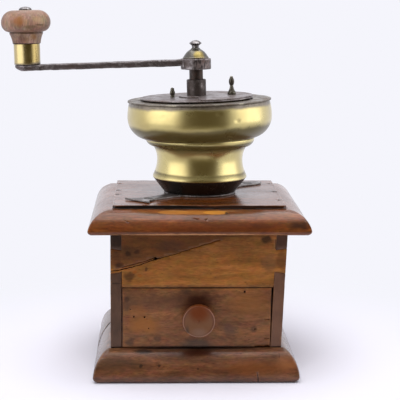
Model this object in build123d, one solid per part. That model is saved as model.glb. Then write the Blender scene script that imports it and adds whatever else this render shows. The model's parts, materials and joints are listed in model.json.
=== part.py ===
"""Hand crank coffee mill: a dovetailed wooden box with a drawer, and a brass hopper over an iron burr mill.

Millimetres, +Z up. The origin is on the underside of the base board, below the middle of the box. The drawer
opens towards -Y and the crank points to -X at rest. Two things lean, as on a worn hand-made mill: the spindle
with all that is fitted to it, and the bowl of the hopper, which share one lean angle.
"""

from build123d import *
import math
import os

os.makedirs("parts", exist_ok=True)

# ---------------------------------------------------------------- driving dimensions: wooden box
base_width = 150.0
base_depth = 150.0
base_height = 23.7
base_toe_round = 4.5
base_arc_height = 2.6
base_ledge = 1.0  # flat strip between the box and the moulding
base_shift_x = -0.9  # the base's middle, off the middle of the box

box_left_x = 63.3  # outer face of the left side, left of the middle
box_right_x = 61.3  # outer face of the right side at its foot, right of the middle
box_depth = 124.4
box_height = 86.1
side_thickness = 8.0
right_lean_deg = 2.45  # the right side leans out at its top
panel_thickness = 8.0
back_thickness = 8.0

top_width = 159.4
top_depth = 159.4
top_thickness = 16.7
top_toe_round = 3.3
top_arc_height = 3.6
top_shift_x = 0.9  # the top's middle, off the middle of the box
field_width = 125.0  # raised field in the middle of the top
field_depth = 125.0
field_height = 2.6
field_ledge = 0.6  # flat strip between the raised field and the moulding

tail_count_back = 3
tail_height = 16.0  # width of a dovetail at its root
tail_flare = 1.2  # a dovetail is this much wider on each edge at its end
front_tail_drop = 12.6  # top of the box down to the front panel's dovetail
back_tail_share = 0.5  # share of the back's height that is dovetail

nail_radius = 0.8
nail_head_radius = 1.6
nail_head_height = 0.7
nail_point_radii = 3.0  # length of a nail's point, in nail radii
screw_point_radii = 2.0  # length of a screw's point, in shank radii
screw_slot = 1.0
screw_slot_share = 0.4  # depth of a screw's slot, as a share of its head
base_nail_length = 38.0
top_nail_length = 32.0
left_nail_ys = (-12.0, 10.0, 42.0)
right_nail_ys = (-38.0, 3.0, 44.0)
base_nail_y = 42.0

# ---------------------------------------------------------------- driving dimensions: drawer
drawer_front_height = 44.3
drawer_front_thickness = 9.0
drawer_side_height = 37.5
drawer_side_thickness = 5.5
drawer_back_thickness = 5.5
drawer_floor_thickness = 3.0
drawer_floor_groove = 2.0  # depth of the groove that holds the floor
drawer_floor_lift = 2.5  # underside of the sides down from the floor
drawer_gap = 0.3  # below, above and to the left of the drawer
drawer_right_gap = 1.3  # to the right of the front's top corner
drawer_back_gap = 6.0
kicker_gap = 0.6  # over the drawer's sides
kicker_height = 5.5
kicker_width = 4.5
drawer_nail_reach = 9.0  # nail in the drawer's back
drawer_nail_shares = (0.45, 0.8)  # heights of the nails, as shares of the drawer's side
knob_reach = 17.0
knob_foot_radius = 8.2
knob_foot_height = 1.0
knob_neck_radius = 6.0
knob_neck_height = 4.8
knob_neck_hollow = 0.65
knob_flare_bulge = 1.3
knob_face_radius = 11.9
knob_rim_drop = 5.1  # middle of the face down to the knob's widest part
knob_rim_bulge = 0.6
knob_crown_inset = 2.2  # the slightly domed face starts this far inside the widest part
knob_crown_rise = 1.4
knob_tenon_radius = 4.5
knob_rise = 1.0  # above the middle of the drawer front
knob_shift_x = 1.4  # right of the middle of the drawer front

# ---------------------------------------------------------------- driving dimensions: mill works
mill_x = 3.0  # the mill's upright centreline, right of the middle of the box
lean_deg = 1.6  # lean of spindle and bowl towards -X
toe_drop = 3.8  # underside of the top down to the centre of the thrust ball that the spindle stands on
ball_radius = 2.0
ball_clearance = 0.1
ball_standoff = 0.4  # from the ball's middle to the screw below it and to the spindle above it
fit_clearance = 0.1  # radial, between turning parts

strap_thickness = 1.3
strap_reach = 66.5  # centreline to the end of an arm
strap_end_width = 26.0
strap_neck_width = 11.0
strap_neck_at = 44.0
strap_root_width = 16.5
strap_root_inset = 2.7  # an arm starts this far inside the disc's edge
strap_root_run = (1.0, -0.3)  # direction of an arm's edge where it starts, along and across
strap_end_run = (0.6, 1.0)
strap_disc_radius = 27.4
strap_angle_deg = 45.0
strap_screw_at = 55.0
strap_screw_head_radius = 3.6
strap_screw_radius = 1.9
strap_screw_length = 13.0

housing_radius = 22.5
housing_foot_radius = 26.8
housing_foot_flare = 1.6
housing_rim_radius = 35.0
housing_rim_lip = 1.0
housing_rim_draw = 0.4  # the rim stands out by this much over the foot of its lip
housing_throat_flare = 1.0
housing_cone_height = 10.8
housing_spigot_height = 2.0
spigot_clearance = 0.3
housing_wall = 2.9
housing_lip = 2.0
housing_recess = 1.2  # underside of the top board up to the housing

burr_height = 22.0
burr_lift = 6.0  # thrust ball up to the inner burr
inner_burr_foot_radius = 13.5
inner_burr_top_radius = 8.5
inner_tooth_depth = 1.6
inner_tooth_count = 12
outer_burr_height = 19.0
outer_burr_throat_height = 9.5
outer_burr_foot_gap = 1.0  # between the burrs' teeth at the foot
outer_burr_throat_radius = 13.6
outer_burr_mouth_radius = 17.6
outer_tooth_depth = 1.5
outer_tooth_count = 16
inner_burr_steps = 4
outer_burr_steps = 3
tooth_face_share = 0.22  # share of a tooth's pitch that its steep face takes
burr_twist_deg = 36.0
burr_collar_radius = 8.4
burr_collar_height = 7.0
burr_pin_radius = 1.5
burr_pin_proud = 0.6

bridge_thickness = 3.0
bridge_width = 14.0
bridge_span = 58.0
bridge_foot = 14.0
bridge_drop = 12.8  # underside of the top board down to the bridge's underside
bridge_boss_radius = 8.0
bridge_boss_height = 3.0
bridge_screw_head_radius = 3.6
bridge_screw_radius = 1.9
bridge_screw_length = 14.0

adjuster_radius = 4.0
adjuster_head_radius = 8.0
adjuster_head_height = 5.0
adjuster_length = 24.0
adjuster_notch_count = 16
adjuster_notch_radius = 0.8
adjuster_notch_out = 0.3  # a notch's middle outside the head's edge
adjuster_slot = 1.6
adjuster_slot_depth = 1.5
lock_nut_across = 13.0
lock_nut_height = 5.0

# ---------------------------------------------------------------- driving dimensions: hopper and lid
sheet = 1.2  # brass sheet
neck_foot_radius = 35.6
neck_foot_height = 1.8
neck_lip_draw = 0.1  # the foot's lip bulges by this much and is drawn in by as much above
neck_waist_radius = 32.45
neck_waist_rise = 13.8  # each rise is measured from the level below
neck_shoulder_radius = 35.5
neck_shoulder_rise = 10.3
bead_radius = 41.3
bead_rise = 6.6
bead_bulge = 1.9

bowl_offset = 2.0  # bowl's axis right of the spindle's
bowl_radius = 54.6
bowl_belly_rise = 15.1  # seat on the neck up to the widest part
bowl_lower_round = 16.1
bowl_upper_round = 45.0
bowl_hole_radius = 36.0
rim_rise = 12.2  # widest part up to the rim
rim_thickness = 1.0
rim_radius = 54.2
rim_inner_radius = 40.0

beam_thickness = 2.6
beam_width = 15.0
beam_half_length = 49.5
beam_raised_half = 35.5  # half length of the middle that is bent up through the ring
beam_bend_length = 3.5
beam_rivet_radius = 1.6
beam_rivet_at = 45.5
beam_rivet_inset = 3.45  # from the bridge's edge
sleeve_radius = 7.3
sleeve_bevel = 0.6
sleeve_reach = 12.2  # above the door

lid_radius = 42.6
lid_gap = 0.9  # rim ring up to the lid, which lies on the bridge's raised middle
lid_thickness = 1.0
window_inner_radius = 14.0
window_outer_radius = 37.0
window_start_deg = -80.0
window_end_deg = -12.0
door_radius = 42.2
door_gap = 0.1
door_thickness = 0.9
door_half_angle_deg = 88.0
door_ring_radius = 13.5
door_finial_at = 26.6
finial_foot_radius = 3.4
finial_foot_height = 1.0
finial_foot_draw = 0.2  # the foot's underside is drawn in by this much
finial_shoulder_radius = 2.9
finial_shoulder_height = 2.1
finial_waist_radius = 1.3
finial_waist_height = 7.0
finial_bulb_radius = 2.0
finial_bulb_drop = 3.4  # top down to the bulb's widest part
finial_crown_radius = 1.25
finial_crown_rise = 1.4
finial_height = 14.0
stop_pin_at = 18.2
stop_pin_foot_radius = 1.75
stop_pin_neck_radius = 1.4
stop_pin_neck_height = 1.5
stop_pin_radius = 1.95
stop_pin_brow_height = 2.9
stop_pin_crown_radius = 1.35
stop_pin_crown_rise = 2.0
stop_pin_height = 7.3
lid_screw_at = 31.0
lid_screw_land = 0.1  # lid left under the lid screw's head
small_screw_radius = 1.25
small_screw_slot = 0.6

# ---------------------------------------------------------------- driving dimensions: spindle, crank, handle
spindle_radius = 5.15
tang_width = 7.4
tang_corner_radius = 4.65
tang_sink = 0.3  # top of the hub down to the end of the square
spindle_neck_length = 7.5  # bare spindle between the sleeve and the hub
hub_height = 8.1
hub_radius = 11.4
crank_length = 126.2
arm_thickness = 4.3
arm_root_thickness = 5.4  # top of the hub down to the underside of the arm's root
arm_root_inset = 2.4  # the arm's slope starts this far inside the hub's edge
arm_step = 0.5  # top of the hub down to the top of the arm's root
arm_tip_thickness = 1.9  # at the very end, where the underside slopes up
arm_tip_slope = 5.5  # length of that slope
arm_droop = 1.8  # top of the hub down to the top of the arm under the handle
arm_width = 11.5
arm_fillet = 22.0
pad_radius = 9.4
washer_radius = 9.6
washer_lip_height = 1.2
washer_lip_draw = 0.3
washer_lip_bulge = 0.25
washer_dome_bulge = 0.5
washer_height = 8.0
washer_crown_radius = 2.9
screw_radius = 2.2
screw_length = 16.0
screw_head_foot_radius = 2.5
screw_head_neck_radius = 2.9
screw_head_neck_height = 1.7
screw_head_radius = 4.7
screw_head_height = 5.6
screw_head_crown_rise = 2.35
screw_lobe_count = 4
screw_lobe_radius = 1.7  # of the grooves between the lobes
screw_lobe_out = 0.4  # a groove's middle outside the head's edge, at the head's top
screw_lobe_tilt_deg = 28.0

axle_radius = 3.0
handle_gap = 0.4
ferrule_radius = 9.75
ferrule_height = 15.3
ferrule_wall = 0.9
handle_neck_radius = 10.3
handle_neck_hollow = 0.45
handle_crease_radius = 13.1
handle_crease_height = 24.7
handle_radius = 18.4
handle_belly_height = 32.2
handle_height = 41.6
handle_crown_radius = 7.5
handle_crown_rise = 0.5
axle_washer_radius = 4.0
axle_washer_thickness = 0.7
axle_head_radius = 3.1
axle_head_height = 1.5

# ---------------------------------------------------------------- derived places
box_foot_z = base_height
box_top_z = box_foot_z + box_height
field_z = box_top_z + top_thickness + field_height
front_y = -box_depth / 2
back_y = box_depth / 2
left_outer = -box_left_x
left_inner = left_outer + side_thickness
lean_slope = math.tan(math.radians(right_lean_deg))
drawer_foot_z = box_foot_z + drawer_gap
drawer_top_z = drawer_foot_z + drawer_front_height
panel_foot_z = drawer_top_z + drawer_gap
strap_top_z = field_z + strap_thickness
toe_z = box_top_z - toe_drop
housing_rim_z = strap_top_z + housing_cone_height
neck_waist_z = housing_rim_z + neck_waist_rise
neck_shoulder_z = neck_waist_z + neck_shoulder_rise
seat_z = neck_shoulder_z + bead_rise  # where the bowl sits on the neck

# heights along the leaning spindle, from the thrust ball
bowl_belly_height = seat_z + bowl_belly_rise - toe_z
rim_height = bowl_belly_height + rim_rise
lid_foot_height = rim_height + rim_thickness + lid_gap
lid_top_height = lid_foot_height + lid_thickness
door_foot_height = lid_top_height + door_gap
door_top_height = door_foot_height + door_thickness
sleeve_top_height = door_top_height + sleeve_reach
hub_foot_height = sleeve_top_height + spindle_neck_length
hub_top_height = hub_foot_height + hub_height

upright = Location((mill_x, 0, 0))
spindle_frame = Location((mill_x, 0, toe_z), (0, -lean_deg, 0))
bowl_frame = spindle_frame * Location((bowl_offset, 0, 0))
handle_frame = spindle_frame * Location((-crank_length, 0, hub_top_height - arm_droop))


# ---------------------------------------------------------------- helpers
def right_outer(z):
    """Outer face of the leaning right side at height z."""
    return box_right_x + (z - box_foot_z) * lean_slope


def right_inner(z):
    """Inner face of the leaning right side at height z."""
    return right_outer(z) - side_thickness


def block(x0, x1, y0, y1, z0, z1):
    """A box from its lowest to its highest corner."""
    return Pos((x0 + x1) / 2, (y0 + y1) / 2, (z0 + z1) / 2) * Box(x1 - x0, y1 - y0, z1 - z0)


def board_along_y(points, y0, y1):
    """A prism with the given (x, z) outline from y0 to y1."""
    face = Plane.XZ * make_face(Polyline(*points, close=True))
    return Pos(0, y0, 0) * extrude(face, amount=y1 - y0, dir=(0, 1, 0))


def turned(*edges):
    """A body turned about Z from edges drawn as (radius, height)."""
    return revolve(Plane.XZ * make_face(edges), Axis.Z)


def crown(radius, edge_height, top_height):
    """An arc of (radius, height) centred on the axis, from an edge up to the middle."""
    rise = top_height - edge_height
    sphere = (radius**2 + rise**2) / (2 * rise)
    centre = top_height - sphere
    half_angle = math.atan2(radius, edge_height - centre) / 2
    middle = (sphere * math.sin(half_angle), centre + sphere * math.cos(half_angle))
    return ThreePointArc((radius, edge_height), middle, (0, top_height))


def turned_outline(*points):
    """A body turned about Z from a straight-sided (radius, height) outline."""
    return revolve(Plane.XZ * make_face(Polyline(*points, close=True)), Axis.Z)


def ring(outer, inner, z0, z1):
    """A plain ring about Z."""
    return turned_outline((inner, z0), (outer, z0), (outer, z1), (inner, z1))


def disc(radius, z0, z1):
    """A plain disc or rod about Z."""
    return Pos(0, 0, (z0 + z1) / 2) * Cylinder(radius, z1 - z0)


def sector(inner, outer, start_deg, end_deg, z0, z1):
    """Part of a ring between two angles about Z."""
    def at(radius, angle):
        return (radius * math.cos(math.radians(angle)), radius * math.sin(math.radians(angle)))

    middle = (start_deg + end_deg) / 2
    outline = make_face([
        Line(at(inner, start_deg), at(outer, start_deg)),
        ThreePointArc(at(outer, start_deg), at(outer, middle), at(outer, end_deg)),
        Line(at(outer, end_deg), at(inner, end_deg)),
        ThreePointArc(at(inner, end_deg), at(inner, middle), at(inner, start_deg)),
    ])
    return Pos(0, 0, z0) * extrude(outline, amount=z1 - z0, dir=(0, 0, 1))


def countersunk_screw(head_radius, shank_radius, length, slot_width=screw_slot):
    """A screw with its flush head at z = 0, pointing down: its full body, and the body with its slot."""
    head_height = head_radius - shank_radius
    body = turned_outline(
        (0, 0), (head_radius, 0), (shank_radius, -head_height),
        (shank_radius, -length + shank_radius * screw_point_radii), (0, -length),
    )
    slot = Box(head_radius * 2, slot_width, 2 * head_height * screw_slot_share)
    return body, body - slot


def nail(length):
    """A flat-headed nail with its head's top at z = 0, pointing down."""
    return turned_outline(
        (0, 0), (nail_head_radius, 0), (nail_head_radius, -nail_head_height),
        (nail_radius, -nail_head_height),
        (nail_radius, -length + nail_radius * nail_point_radii), (0, -length),
    )


def star(tip, root, count, z, turn_deg):
    """A saw-toothed outline about Z at height z."""
    corners = []
    for tooth in range(count):
        for radius, share in ((root, 0.0), (tip, tooth_face_share)):
            angle = math.radians(turn_deg + 360 * (tooth + share) / count)
            corners.append((radius * math.cos(angle), radius * math.sin(angle)))
    return Pos(0, 0, z) * make_face(Polyline(*corners, close=True))


def toothed(levels, depth, count, outward):
    """A toothed body through (height, tip radius) levels, twisting as it rises."""
    foot, top = levels[0][0], levels[-1][0]
    sections = []
    for height, tip in levels:
        turn = burr_twist_deg * (height - foot) / (top - foot)
        root = tip - depth if outward else tip + depth
        sections.append(star(tip, root, count, height, turn))
    return loft(sections, ruled=True)


def level_steps(points, steps):
    """Evenly spaced (height, radius) levels along a line of (height, radius) points."""
    levels = []
    for (h0, r0), (h1, r1) in zip(points, points[1:]):
        for step in range(steps):
            share = step / steps
            levels.append((h0 + (h1 - h0) * share, r0 + (r1 - r0) * share))
    return levels + [points[-1]]


def moulded_board(width, depth, foot_z, height, ledge_x, ledge_y, toe_round, arc_height):
    """A board whose four edges carry one rounded moulding, with mitred corners."""
    def prism(half, ledge, long_side):
        right = [
            (half - toe_round, foot_z),
            (half, foot_z + toe_round),
            (ledge, foot_z + height),
        ]
        left = [(-x, z) for x, z in right]
        outline = make_face([
            Line(left[0], right[0]),
            TangentArc(right[0], right[1], tangent=(1, 0)),
            SagittaArc(right[1], right[2], -arc_height),
            Line(right[2], left[2]),
            SagittaArc(left[2], left[1], -arc_height),
            TangentArc(left[0], left[1], tangent=(-1, 0)),
        ])
        face = Plane.XZ * outline
        return Pos(0, -long_side / 2, 0) * extrude(face, amount=long_side, dir=(0, 1, 0))

    across = prism(width / 2, ledge_x, depth)
    along = Rot(0, 0, 90) * prism(depth / 2, ledge_y, width)
    return across & along


def panel_tail(side, z0, z1, y0, y1):
    """One dovetail of a front or back panel, through the side board on the given side."""
    if side < 0:
        root0 = root1 = left_inner
        end0 = end1 = left_outer
    else:
        root0, root1 = right_inner(z0), right_inner(z1)
        end0, end1 = right_outer(z0 - tail_flare), right_outer(z1 + tail_flare)
    outline = [(root0, z0), (end0, z0 - tail_flare), (end1, z1 + tail_flare), (root1, z1)]
    return board_along_y(outline, y0, y1)


def export(name, shape):
    """Writes one sub-part."""
    export_step(shape, f"parts/{name}.step")


# ---------------------------------------------------------------- wooden box
def make_base_board():
    """The moulded board that the box stands on."""
    ledge_x, ledge_y = max(box_left_x, box_right_x) + base_ledge, box_depth / 2 + base_ledge
    board = moulded_board(
        base_width, base_depth, 0, base_height, ledge_x, ledge_y, base_toe_round, base_arc_height
    )
    return Pos(base_shift_x, 0, 0) * board


def make_side_board(side):
    """A side of the box: the left one upright, the right one leaning out at its top."""
    if side < 0:
        outline = [
            (left_outer, box_foot_z), (left_inner, box_foot_z),
            (left_inner, box_top_z), (left_outer, box_top_z),
        ]
    else:
        outline = [
            (right_inner(box_foot_z), box_foot_z), (right_outer(box_foot_z), box_foot_z),
            (right_outer(box_top_z), box_top_z), (right_inner(box_top_z), box_top_z),
        ]
    return board_along_y(outline, front_y, back_y)


def front_tails():
    """The front panel's two dovetails."""
    z1 = box_top_z - front_tail_drop - tail_flare
    z0 = z1 - tail_height
    return [panel_tail(side, z0, z1, front_y, front_y + panel_thickness) for side in (-1, 1)]


def back_tails():
    """The back's dovetails, evenly spaced on both edges."""
    pitch = box_height / tail_count_back
    height = pitch * back_tail_share
    tails = []
    for index in range(tail_count_back):
        z0 = box_foot_z + pitch * (index + 0.5) - height / 2
        tails += [panel_tail(side, z0, z0 + height, back_y - back_thickness, back_y) for side in (-1, 1)]
    return tails


def between_sides(z0, z1, y0, y1):
    """A board that fills the space between the two sides."""
    outline = [(left_inner, z0), (right_inner(z0), z0), (right_inner(z1), z1), (left_inner, z1)]
    return board_along_y(outline, y0, y1)


def make_front_panel():
    """The fixed panel over the drawer, dovetailed through both sides."""
    panel = between_sides(panel_foot_z, box_top_z, front_y, front_y + panel_thickness)
    for tail in front_tails():
        panel += tail
    return panel


def make_back_board():
    """The back of the box, dovetailed through both sides."""
    board = between_sides(box_foot_z, box_top_z, back_y - back_thickness, back_y)
    for tail in back_tails():
        board += tail
    return board


def make_top_board():
    """The moulded top with its raised field and the hole for the mill."""
    ledge_x, ledge_y = field_width / 2 + field_ledge, field_depth / 2 + field_ledge
    board = moulded_board(
        top_width, top_depth, box_top_z, top_thickness, ledge_x, ledge_y, top_toe_round, top_arc_height
    )
    half_x, half_y = field_width / 2, field_depth / 2
    board += block(-half_x, half_x, -half_y, half_y, field_z - 2 * field_height, field_z)
    mill_hole = upright * disc(housing_radius + fit_clearance, box_top_z - 1, field_z + 1)
    return Pos(top_shift_x, 0, 0) * board - mill_hole


def make_top_nails():
    """Nails from the raised field down into the two sides."""
    sunk = nail(top_nail_length)
    left_x = (left_outer + left_inner) / 2
    right_x = (right_outer(box_top_z) + right_inner(box_top_z)) / 2
    nails = [Pos(left_x, y, field_z) * sunk for y in left_nail_ys]
    nails += [Pos(right_x, y, field_z) * Rot(0, right_lean_deg, 0) * sunk for y in right_nail_ys]
    return nails


def make_base_nails():
    """Nails from under the base board up into the two sides."""
    sunk = Rot(180, 0, 0) * nail(base_nail_length)
    left_x = (left_outer + left_inner) / 2
    right_x = (right_outer(box_foot_z) + right_inner(box_foot_z)) / 2
    return [Pos(x, y, 0) * sunk for x in (left_x, right_x) for y in (-base_nail_y, 0, base_nail_y)]


def make_kicker(side):
    """The strip inside a side that keeps the open drawer from tipping."""
    z0 = drawer_foot_z + drawer_side_height + kicker_gap
    z1 = z0 + kicker_height
    if side < 0:
        outline = [
            (left_inner, z0), (left_inner + kicker_width, z0),
            (left_inner + kicker_width, z1), (left_inner, z1),
        ]
    else:
        outline = [
            (right_inner(z0) - kicker_width, z0), (right_inner(z0), z0),
            (right_inner(z1), z1), (right_inner(z1) - kicker_width, z1),
        ]
    return board_along_y(outline, front_y + drawer_front_thickness + drawer_gap, back_y - back_thickness)


# ---------------------------------------------------------------- drawer
drawer_left = left_inner + drawer_gap
drawer_right = right_inner(box_foot_z) - drawer_gap
drawer_back_y = back_y - back_thickness - drawer_back_gap
drawer_side_front_y = front_y + drawer_front_thickness
floor_foot_z = drawer_foot_z + drawer_floor_lift
floor_top_z = floor_foot_z + drawer_floor_thickness


def make_drawer_front():
    """The drawer's front, its right edge planed to follow the leaning side."""
    top_right = right_inner(drawer_top_z) - drawer_right_gap
    outline = [
        (drawer_left, drawer_foot_z), (drawer_right, drawer_foot_z),
        (top_right, drawer_top_z), (drawer_left, drawer_top_z),
    ]
    front = board_along_y(outline, front_y, drawer_side_front_y)
    groove = block(
        drawer_left + drawer_side_thickness, drawer_right - drawer_side_thickness,
        drawer_side_front_y - drawer_floor_groove, drawer_side_front_y + 1, floor_foot_z, floor_top_z,
    )
    return front - groove - knob_place() * knob_tenon()


def make_drawer_side(side):
    """One side of the drawer, grooved for the floor."""
    if side < 0:
        x0, x1 = drawer_left, drawer_left + drawer_side_thickness
        groove = (x1 - drawer_floor_groove, x1 + 1)
    else:
        x0, x1 = drawer_right - drawer_side_thickness, drawer_right
        groove = (x0 - 1, x0 + drawer_floor_groove)
    top_z = drawer_foot_z + drawer_side_height
    board = block(x0, x1, drawer_side_front_y, drawer_back_y, drawer_foot_z, top_z)
    return board - block(*groove, drawer_side_front_y - 1, drawer_back_y + 1, floor_foot_z, floor_top_z)


def make_drawer_back():
    """The drawer's back, which stands on the floor between the sides."""
    return block(
        drawer_left + drawer_side_thickness, drawer_right - drawer_side_thickness,
        drawer_back_y - drawer_back_thickness, drawer_back_y, floor_top_z, drawer_foot_z + drawer_side_height,
    )


def make_drawer_floor():
    """The thin floor that slides into the grooves."""
    inner_left, inner_right = drawer_left + drawer_side_thickness, drawer_right - drawer_side_thickness
    floor = block(
        inner_left - drawer_floor_groove, inner_right + drawer_floor_groove,
        drawer_side_front_y, drawer_back_y, floor_foot_z, floor_top_z,
    )
    tongue = block(
        inner_left, inner_right, drawer_side_front_y - drawer_floor_groove, drawer_side_front_y,
        floor_foot_z, floor_top_z,
    )
    return floor + tongue


def knob_place():
    """The drawer knob's axis: its local +Z points out of the drawer front."""
    knob_x = (drawer_left + drawer_right) / 2 + knob_shift_x
    knob_z = (drawer_foot_z + drawer_top_z) / 2 + knob_rise
    return Location((knob_x, front_y, knob_z), (90, 0, 0))


def knob_tenon():
    """The round tenon that holds the knob in the drawer front."""
    return disc(knob_tenon_radius, -drawer_front_thickness, 0)


def make_drawer_knob():
    """A turned mushroom knob with its tenon."""
    foot, foot_rim = (knob_foot_radius, 0), (knob_foot_radius, knob_foot_height)
    neck = (knob_neck_radius, knob_neck_height)
    widest = (knob_face_radius, knob_reach - knob_rim_drop)
    face_edge = (knob_face_radius - knob_crown_inset, knob_reach - knob_crown_rise)
    head = turned(
        Line((0, 0), foot),
        Line(foot, foot_rim),
        SagittaArc(foot_rim, neck, knob_neck_hollow),
        SagittaArc(neck, widest, -knob_flare_bulge),
        SagittaArc(widest, face_edge, -knob_rim_bulge),
        crown(*face_edge, knob_reach),
        Line((0, knob_reach), (0, 0)),
    )
    return knob_place() * (head + knob_tenon())


def make_drawer_nails():
    """Small nails through the drawer's sides into its back."""
    sunk = nail(drawer_side_thickness + drawer_nail_reach)
    y = drawer_back_y - drawer_back_thickness / 2
    nails = []
    for share in drawer_nail_shares:
        z = drawer_foot_z + drawer_side_height * share
        nails.append(Pos(drawer_left, y, z) * Rot(0, -90, 0) * sunk)
        nails.append(Pos(drawer_right, y, z) * Rot(0, 90, 0) * sunk)
    return nails


# ---------------------------------------------------------------- mill works
def strap_edge(way, side):
    """One curved edge of an arm of the strap: way says which arm, side says which edge of it."""
    points = [
        (strap_disc_radius - strap_root_inset, strap_root_width / 2),
        (strap_neck_at, strap_neck_width / 2),
        (strap_reach, strap_end_width / 2),
    ]
    runs = [(way * along, side * across) for along, across in (strap_root_run, strap_end_run)]
    return Spline(*[(way * along, side * across) for along, across in points], tangents=runs)


def make_mounting_strap():
    """The flat iron strap under the mill: a disc with two fishtail arms on the diagonal."""
    plate = Circle(strap_disc_radius)
    for way in (1, -1):
        upper, lower = strap_edge(way, 1), strap_edge(way, -1)
        plate += make_face([upper, Line(upper @ 1, lower @ 1), lower, Line(lower @ 0, upper @ 0)])
    plate -= Circle(housing_radius)
    solid = extrude(plate, amount=strap_thickness, dir=(0, 0, 1))
    return upright * Pos(0, 0, field_z) * Rot(0, 0, strap_angle_deg) * solid


def strap_screw_places():
    """Where the strap's two screws sit, head up."""
    angle = math.radians(strap_angle_deg)
    for way in (1, -1):
        yield upright * Pos(
            way * strap_screw_at * math.cos(angle), way * strap_screw_at * math.sin(angle), strap_top_z
        )


def housing_profile():
    """Outer (radius, height) outline of the housing, from its foot up."""
    foot_z = box_top_z + housing_recess
    return [
        (housing_radius, foot_z),
        (housing_radius, strap_top_z),
        (housing_foot_radius, strap_top_z),
        (housing_foot_radius + housing_foot_flare, strap_top_z + housing_foot_flare),
        (housing_rim_radius - housing_rim_draw, housing_rim_z - housing_rim_lip),
        (housing_rim_radius, housing_rim_z),
        (housing_spigot_radius, housing_rim_z),
        (housing_spigot_radius, housing_rim_z + housing_spigot_height),
    ]


housing_spigot_radius = neck_foot_radius - sheet - spigot_clearance
housing_bore_radius = housing_radius - housing_wall
housing_foot_z = box_top_z + housing_recess
burr_seat_z = housing_foot_z + housing_lip


def make_burr_housing():
    """The dark iron housing: a cylinder in the top board that opens into a cone under the hopper."""
    bore_top_z = burr_seat_z + outer_burr_height
    inside = [
        (housing_spigot_radius - housing_wall, housing_rim_z + housing_spigot_height),
        (housing_bore_radius + housing_throat_flare, bore_top_z + housing_throat_flare),
        (housing_bore_radius, bore_top_z),
        (housing_bore_radius, burr_seat_z),
        (housing_bore_radius - housing_lip, burr_seat_z),
        (housing_bore_radius - housing_lip, housing_foot_z),
    ]
    return upright * turned_outline(*housing_profile(), *inside)


def make_outer_burr():
    """The toothed ring that stands still in the housing."""
    over = 0.5  # the cavity is cut past both faces
    levels = level_steps([
        (-over, inner_burr_foot_radius + outer_burr_foot_gap),
        (outer_burr_throat_height, outer_burr_throat_radius),
        (outer_burr_height + over, outer_burr_mouth_radius),
    ], outer_burr_steps)
    body = disc(housing_bore_radius, 0, outer_burr_height)
    cavity = toothed(levels, outer_tooth_depth, outer_tooth_count, outward=False)
    return upright * Pos(0, 0, burr_seat_z) * (body - cavity)


def make_inner_burr():
    """The toothed cone on the spindle, with the collar that its pin goes through."""
    flank = [(0, inner_burr_foot_radius), (burr_height, inner_burr_top_radius)]
    levels = level_steps(flank, inner_burr_steps)
    cone = toothed(levels, inner_tooth_depth, inner_tooth_count, outward=True)
    collar = disc(burr_collar_radius, burr_height, burr_height + burr_collar_height)
    bored = cone + collar - disc(spindle_radius, -1, burr_height + burr_collar_height + 1)
    return spindle_frame * Pos(0, 0, burr_lift) * (bored - burr_pin_local())


def burr_pin_local():
    """The cross pin, in the spindle's frame but for the burr's lift."""
    half = burr_collar_radius + burr_pin_proud
    pin = disc(burr_pin_radius, -half, half)
    return Pos(0, 0, burr_height + burr_collar_height / 2) * Rot(90, 0, 0) * pin


def make_burr_pin():
    """The pin through burr and spindle."""
    return spindle_frame * Pos(0, 0, burr_lift) * burr_pin_local()


def bridge_top_z():
    """Top face of the lower bridge's bar."""
    return box_top_z - bridge_drop + bridge_thickness


def bridge_screw_places():
    """Where the lower bridge's screws sit, head down."""
    reach = (bridge_span + bridge_foot) / 2
    for way in (1, -1):
        yield upright * Pos(way * reach, 0, box_top_z - bridge_thickness) * Rot(180, 0, 0)


def make_lower_bridge():
    """The bent iron bar under the top board that carries the adjusting screw."""
    half, end, t = bridge_span / 2, bridge_span / 2 + bridge_foot, bridge_thickness
    foot_z, flange_z = box_top_z - bridge_drop, box_top_z - bridge_thickness
    outline = [
        (-end, box_top_z), (-end, flange_z), (-half, flange_z), (-half, foot_z),
        (half, foot_z), (half, flange_z), (end, flange_z), (end, box_top_z),
        (half - t, box_top_z), (half - t, foot_z + t), (-half + t, foot_z + t), (-half + t, box_top_z),
    ]
    bar = board_along_y(outline, -bridge_width / 2, bridge_width / 2)
    boss_foot_z = foot_z - bridge_boss_height
    boss = disc(bridge_boss_radius, boss_foot_z, foot_z + t / 2)
    bore = disc(adjuster_radius + fit_clearance / 2, boss_foot_z - 1, foot_z + t + 1)
    return upright * (bar + boss - bore)


def make_adjusting_screw():
    """The screw that lifts the spindle, with a notched and slotted head and a cup for the ball."""
    top_z = toe_z - ball_standoff
    foot_z = top_z - adjuster_length
    head_z = foot_z - adjuster_head_height
    shank = disc(adjuster_radius, foot_z, top_z)
    head = disc(adjuster_head_radius, head_z, foot_z)
    notch_at = adjuster_head_radius + adjuster_notch_out
    notch = Pos(notch_at, 0, 0) * disc(adjuster_notch_radius, head_z, foot_z)
    for index in range(adjuster_notch_count):
        head -= Rot(0, 0, 360 * index / adjuster_notch_count) * notch
    slot_length = 2 * adjuster_head_radius + adjuster_slot
    slot = Pos(0, 0, head_z) * Box(slot_length, adjuster_slot, 2 * adjuster_slot_depth)
    cup = Pos(0, 0, toe_z) * Sphere(ball_radius + ball_clearance)
    return upright * (shank + head - slot - cup)


def make_lock_nut():
    """The nut that locks the adjusting screw under the bridge."""
    top_z = box_top_z - bridge_drop - bridge_boss_height
    hexagon = extrude(RegularPolygon(lock_nut_across / 2, 6, major_radius=False), amount=-lock_nut_height)
    bore = disc(adjuster_radius + fit_clearance / 2, -lock_nut_height - 1, 1)
    return upright * Pos(0, 0, top_z) * (hexagon - bore)


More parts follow.
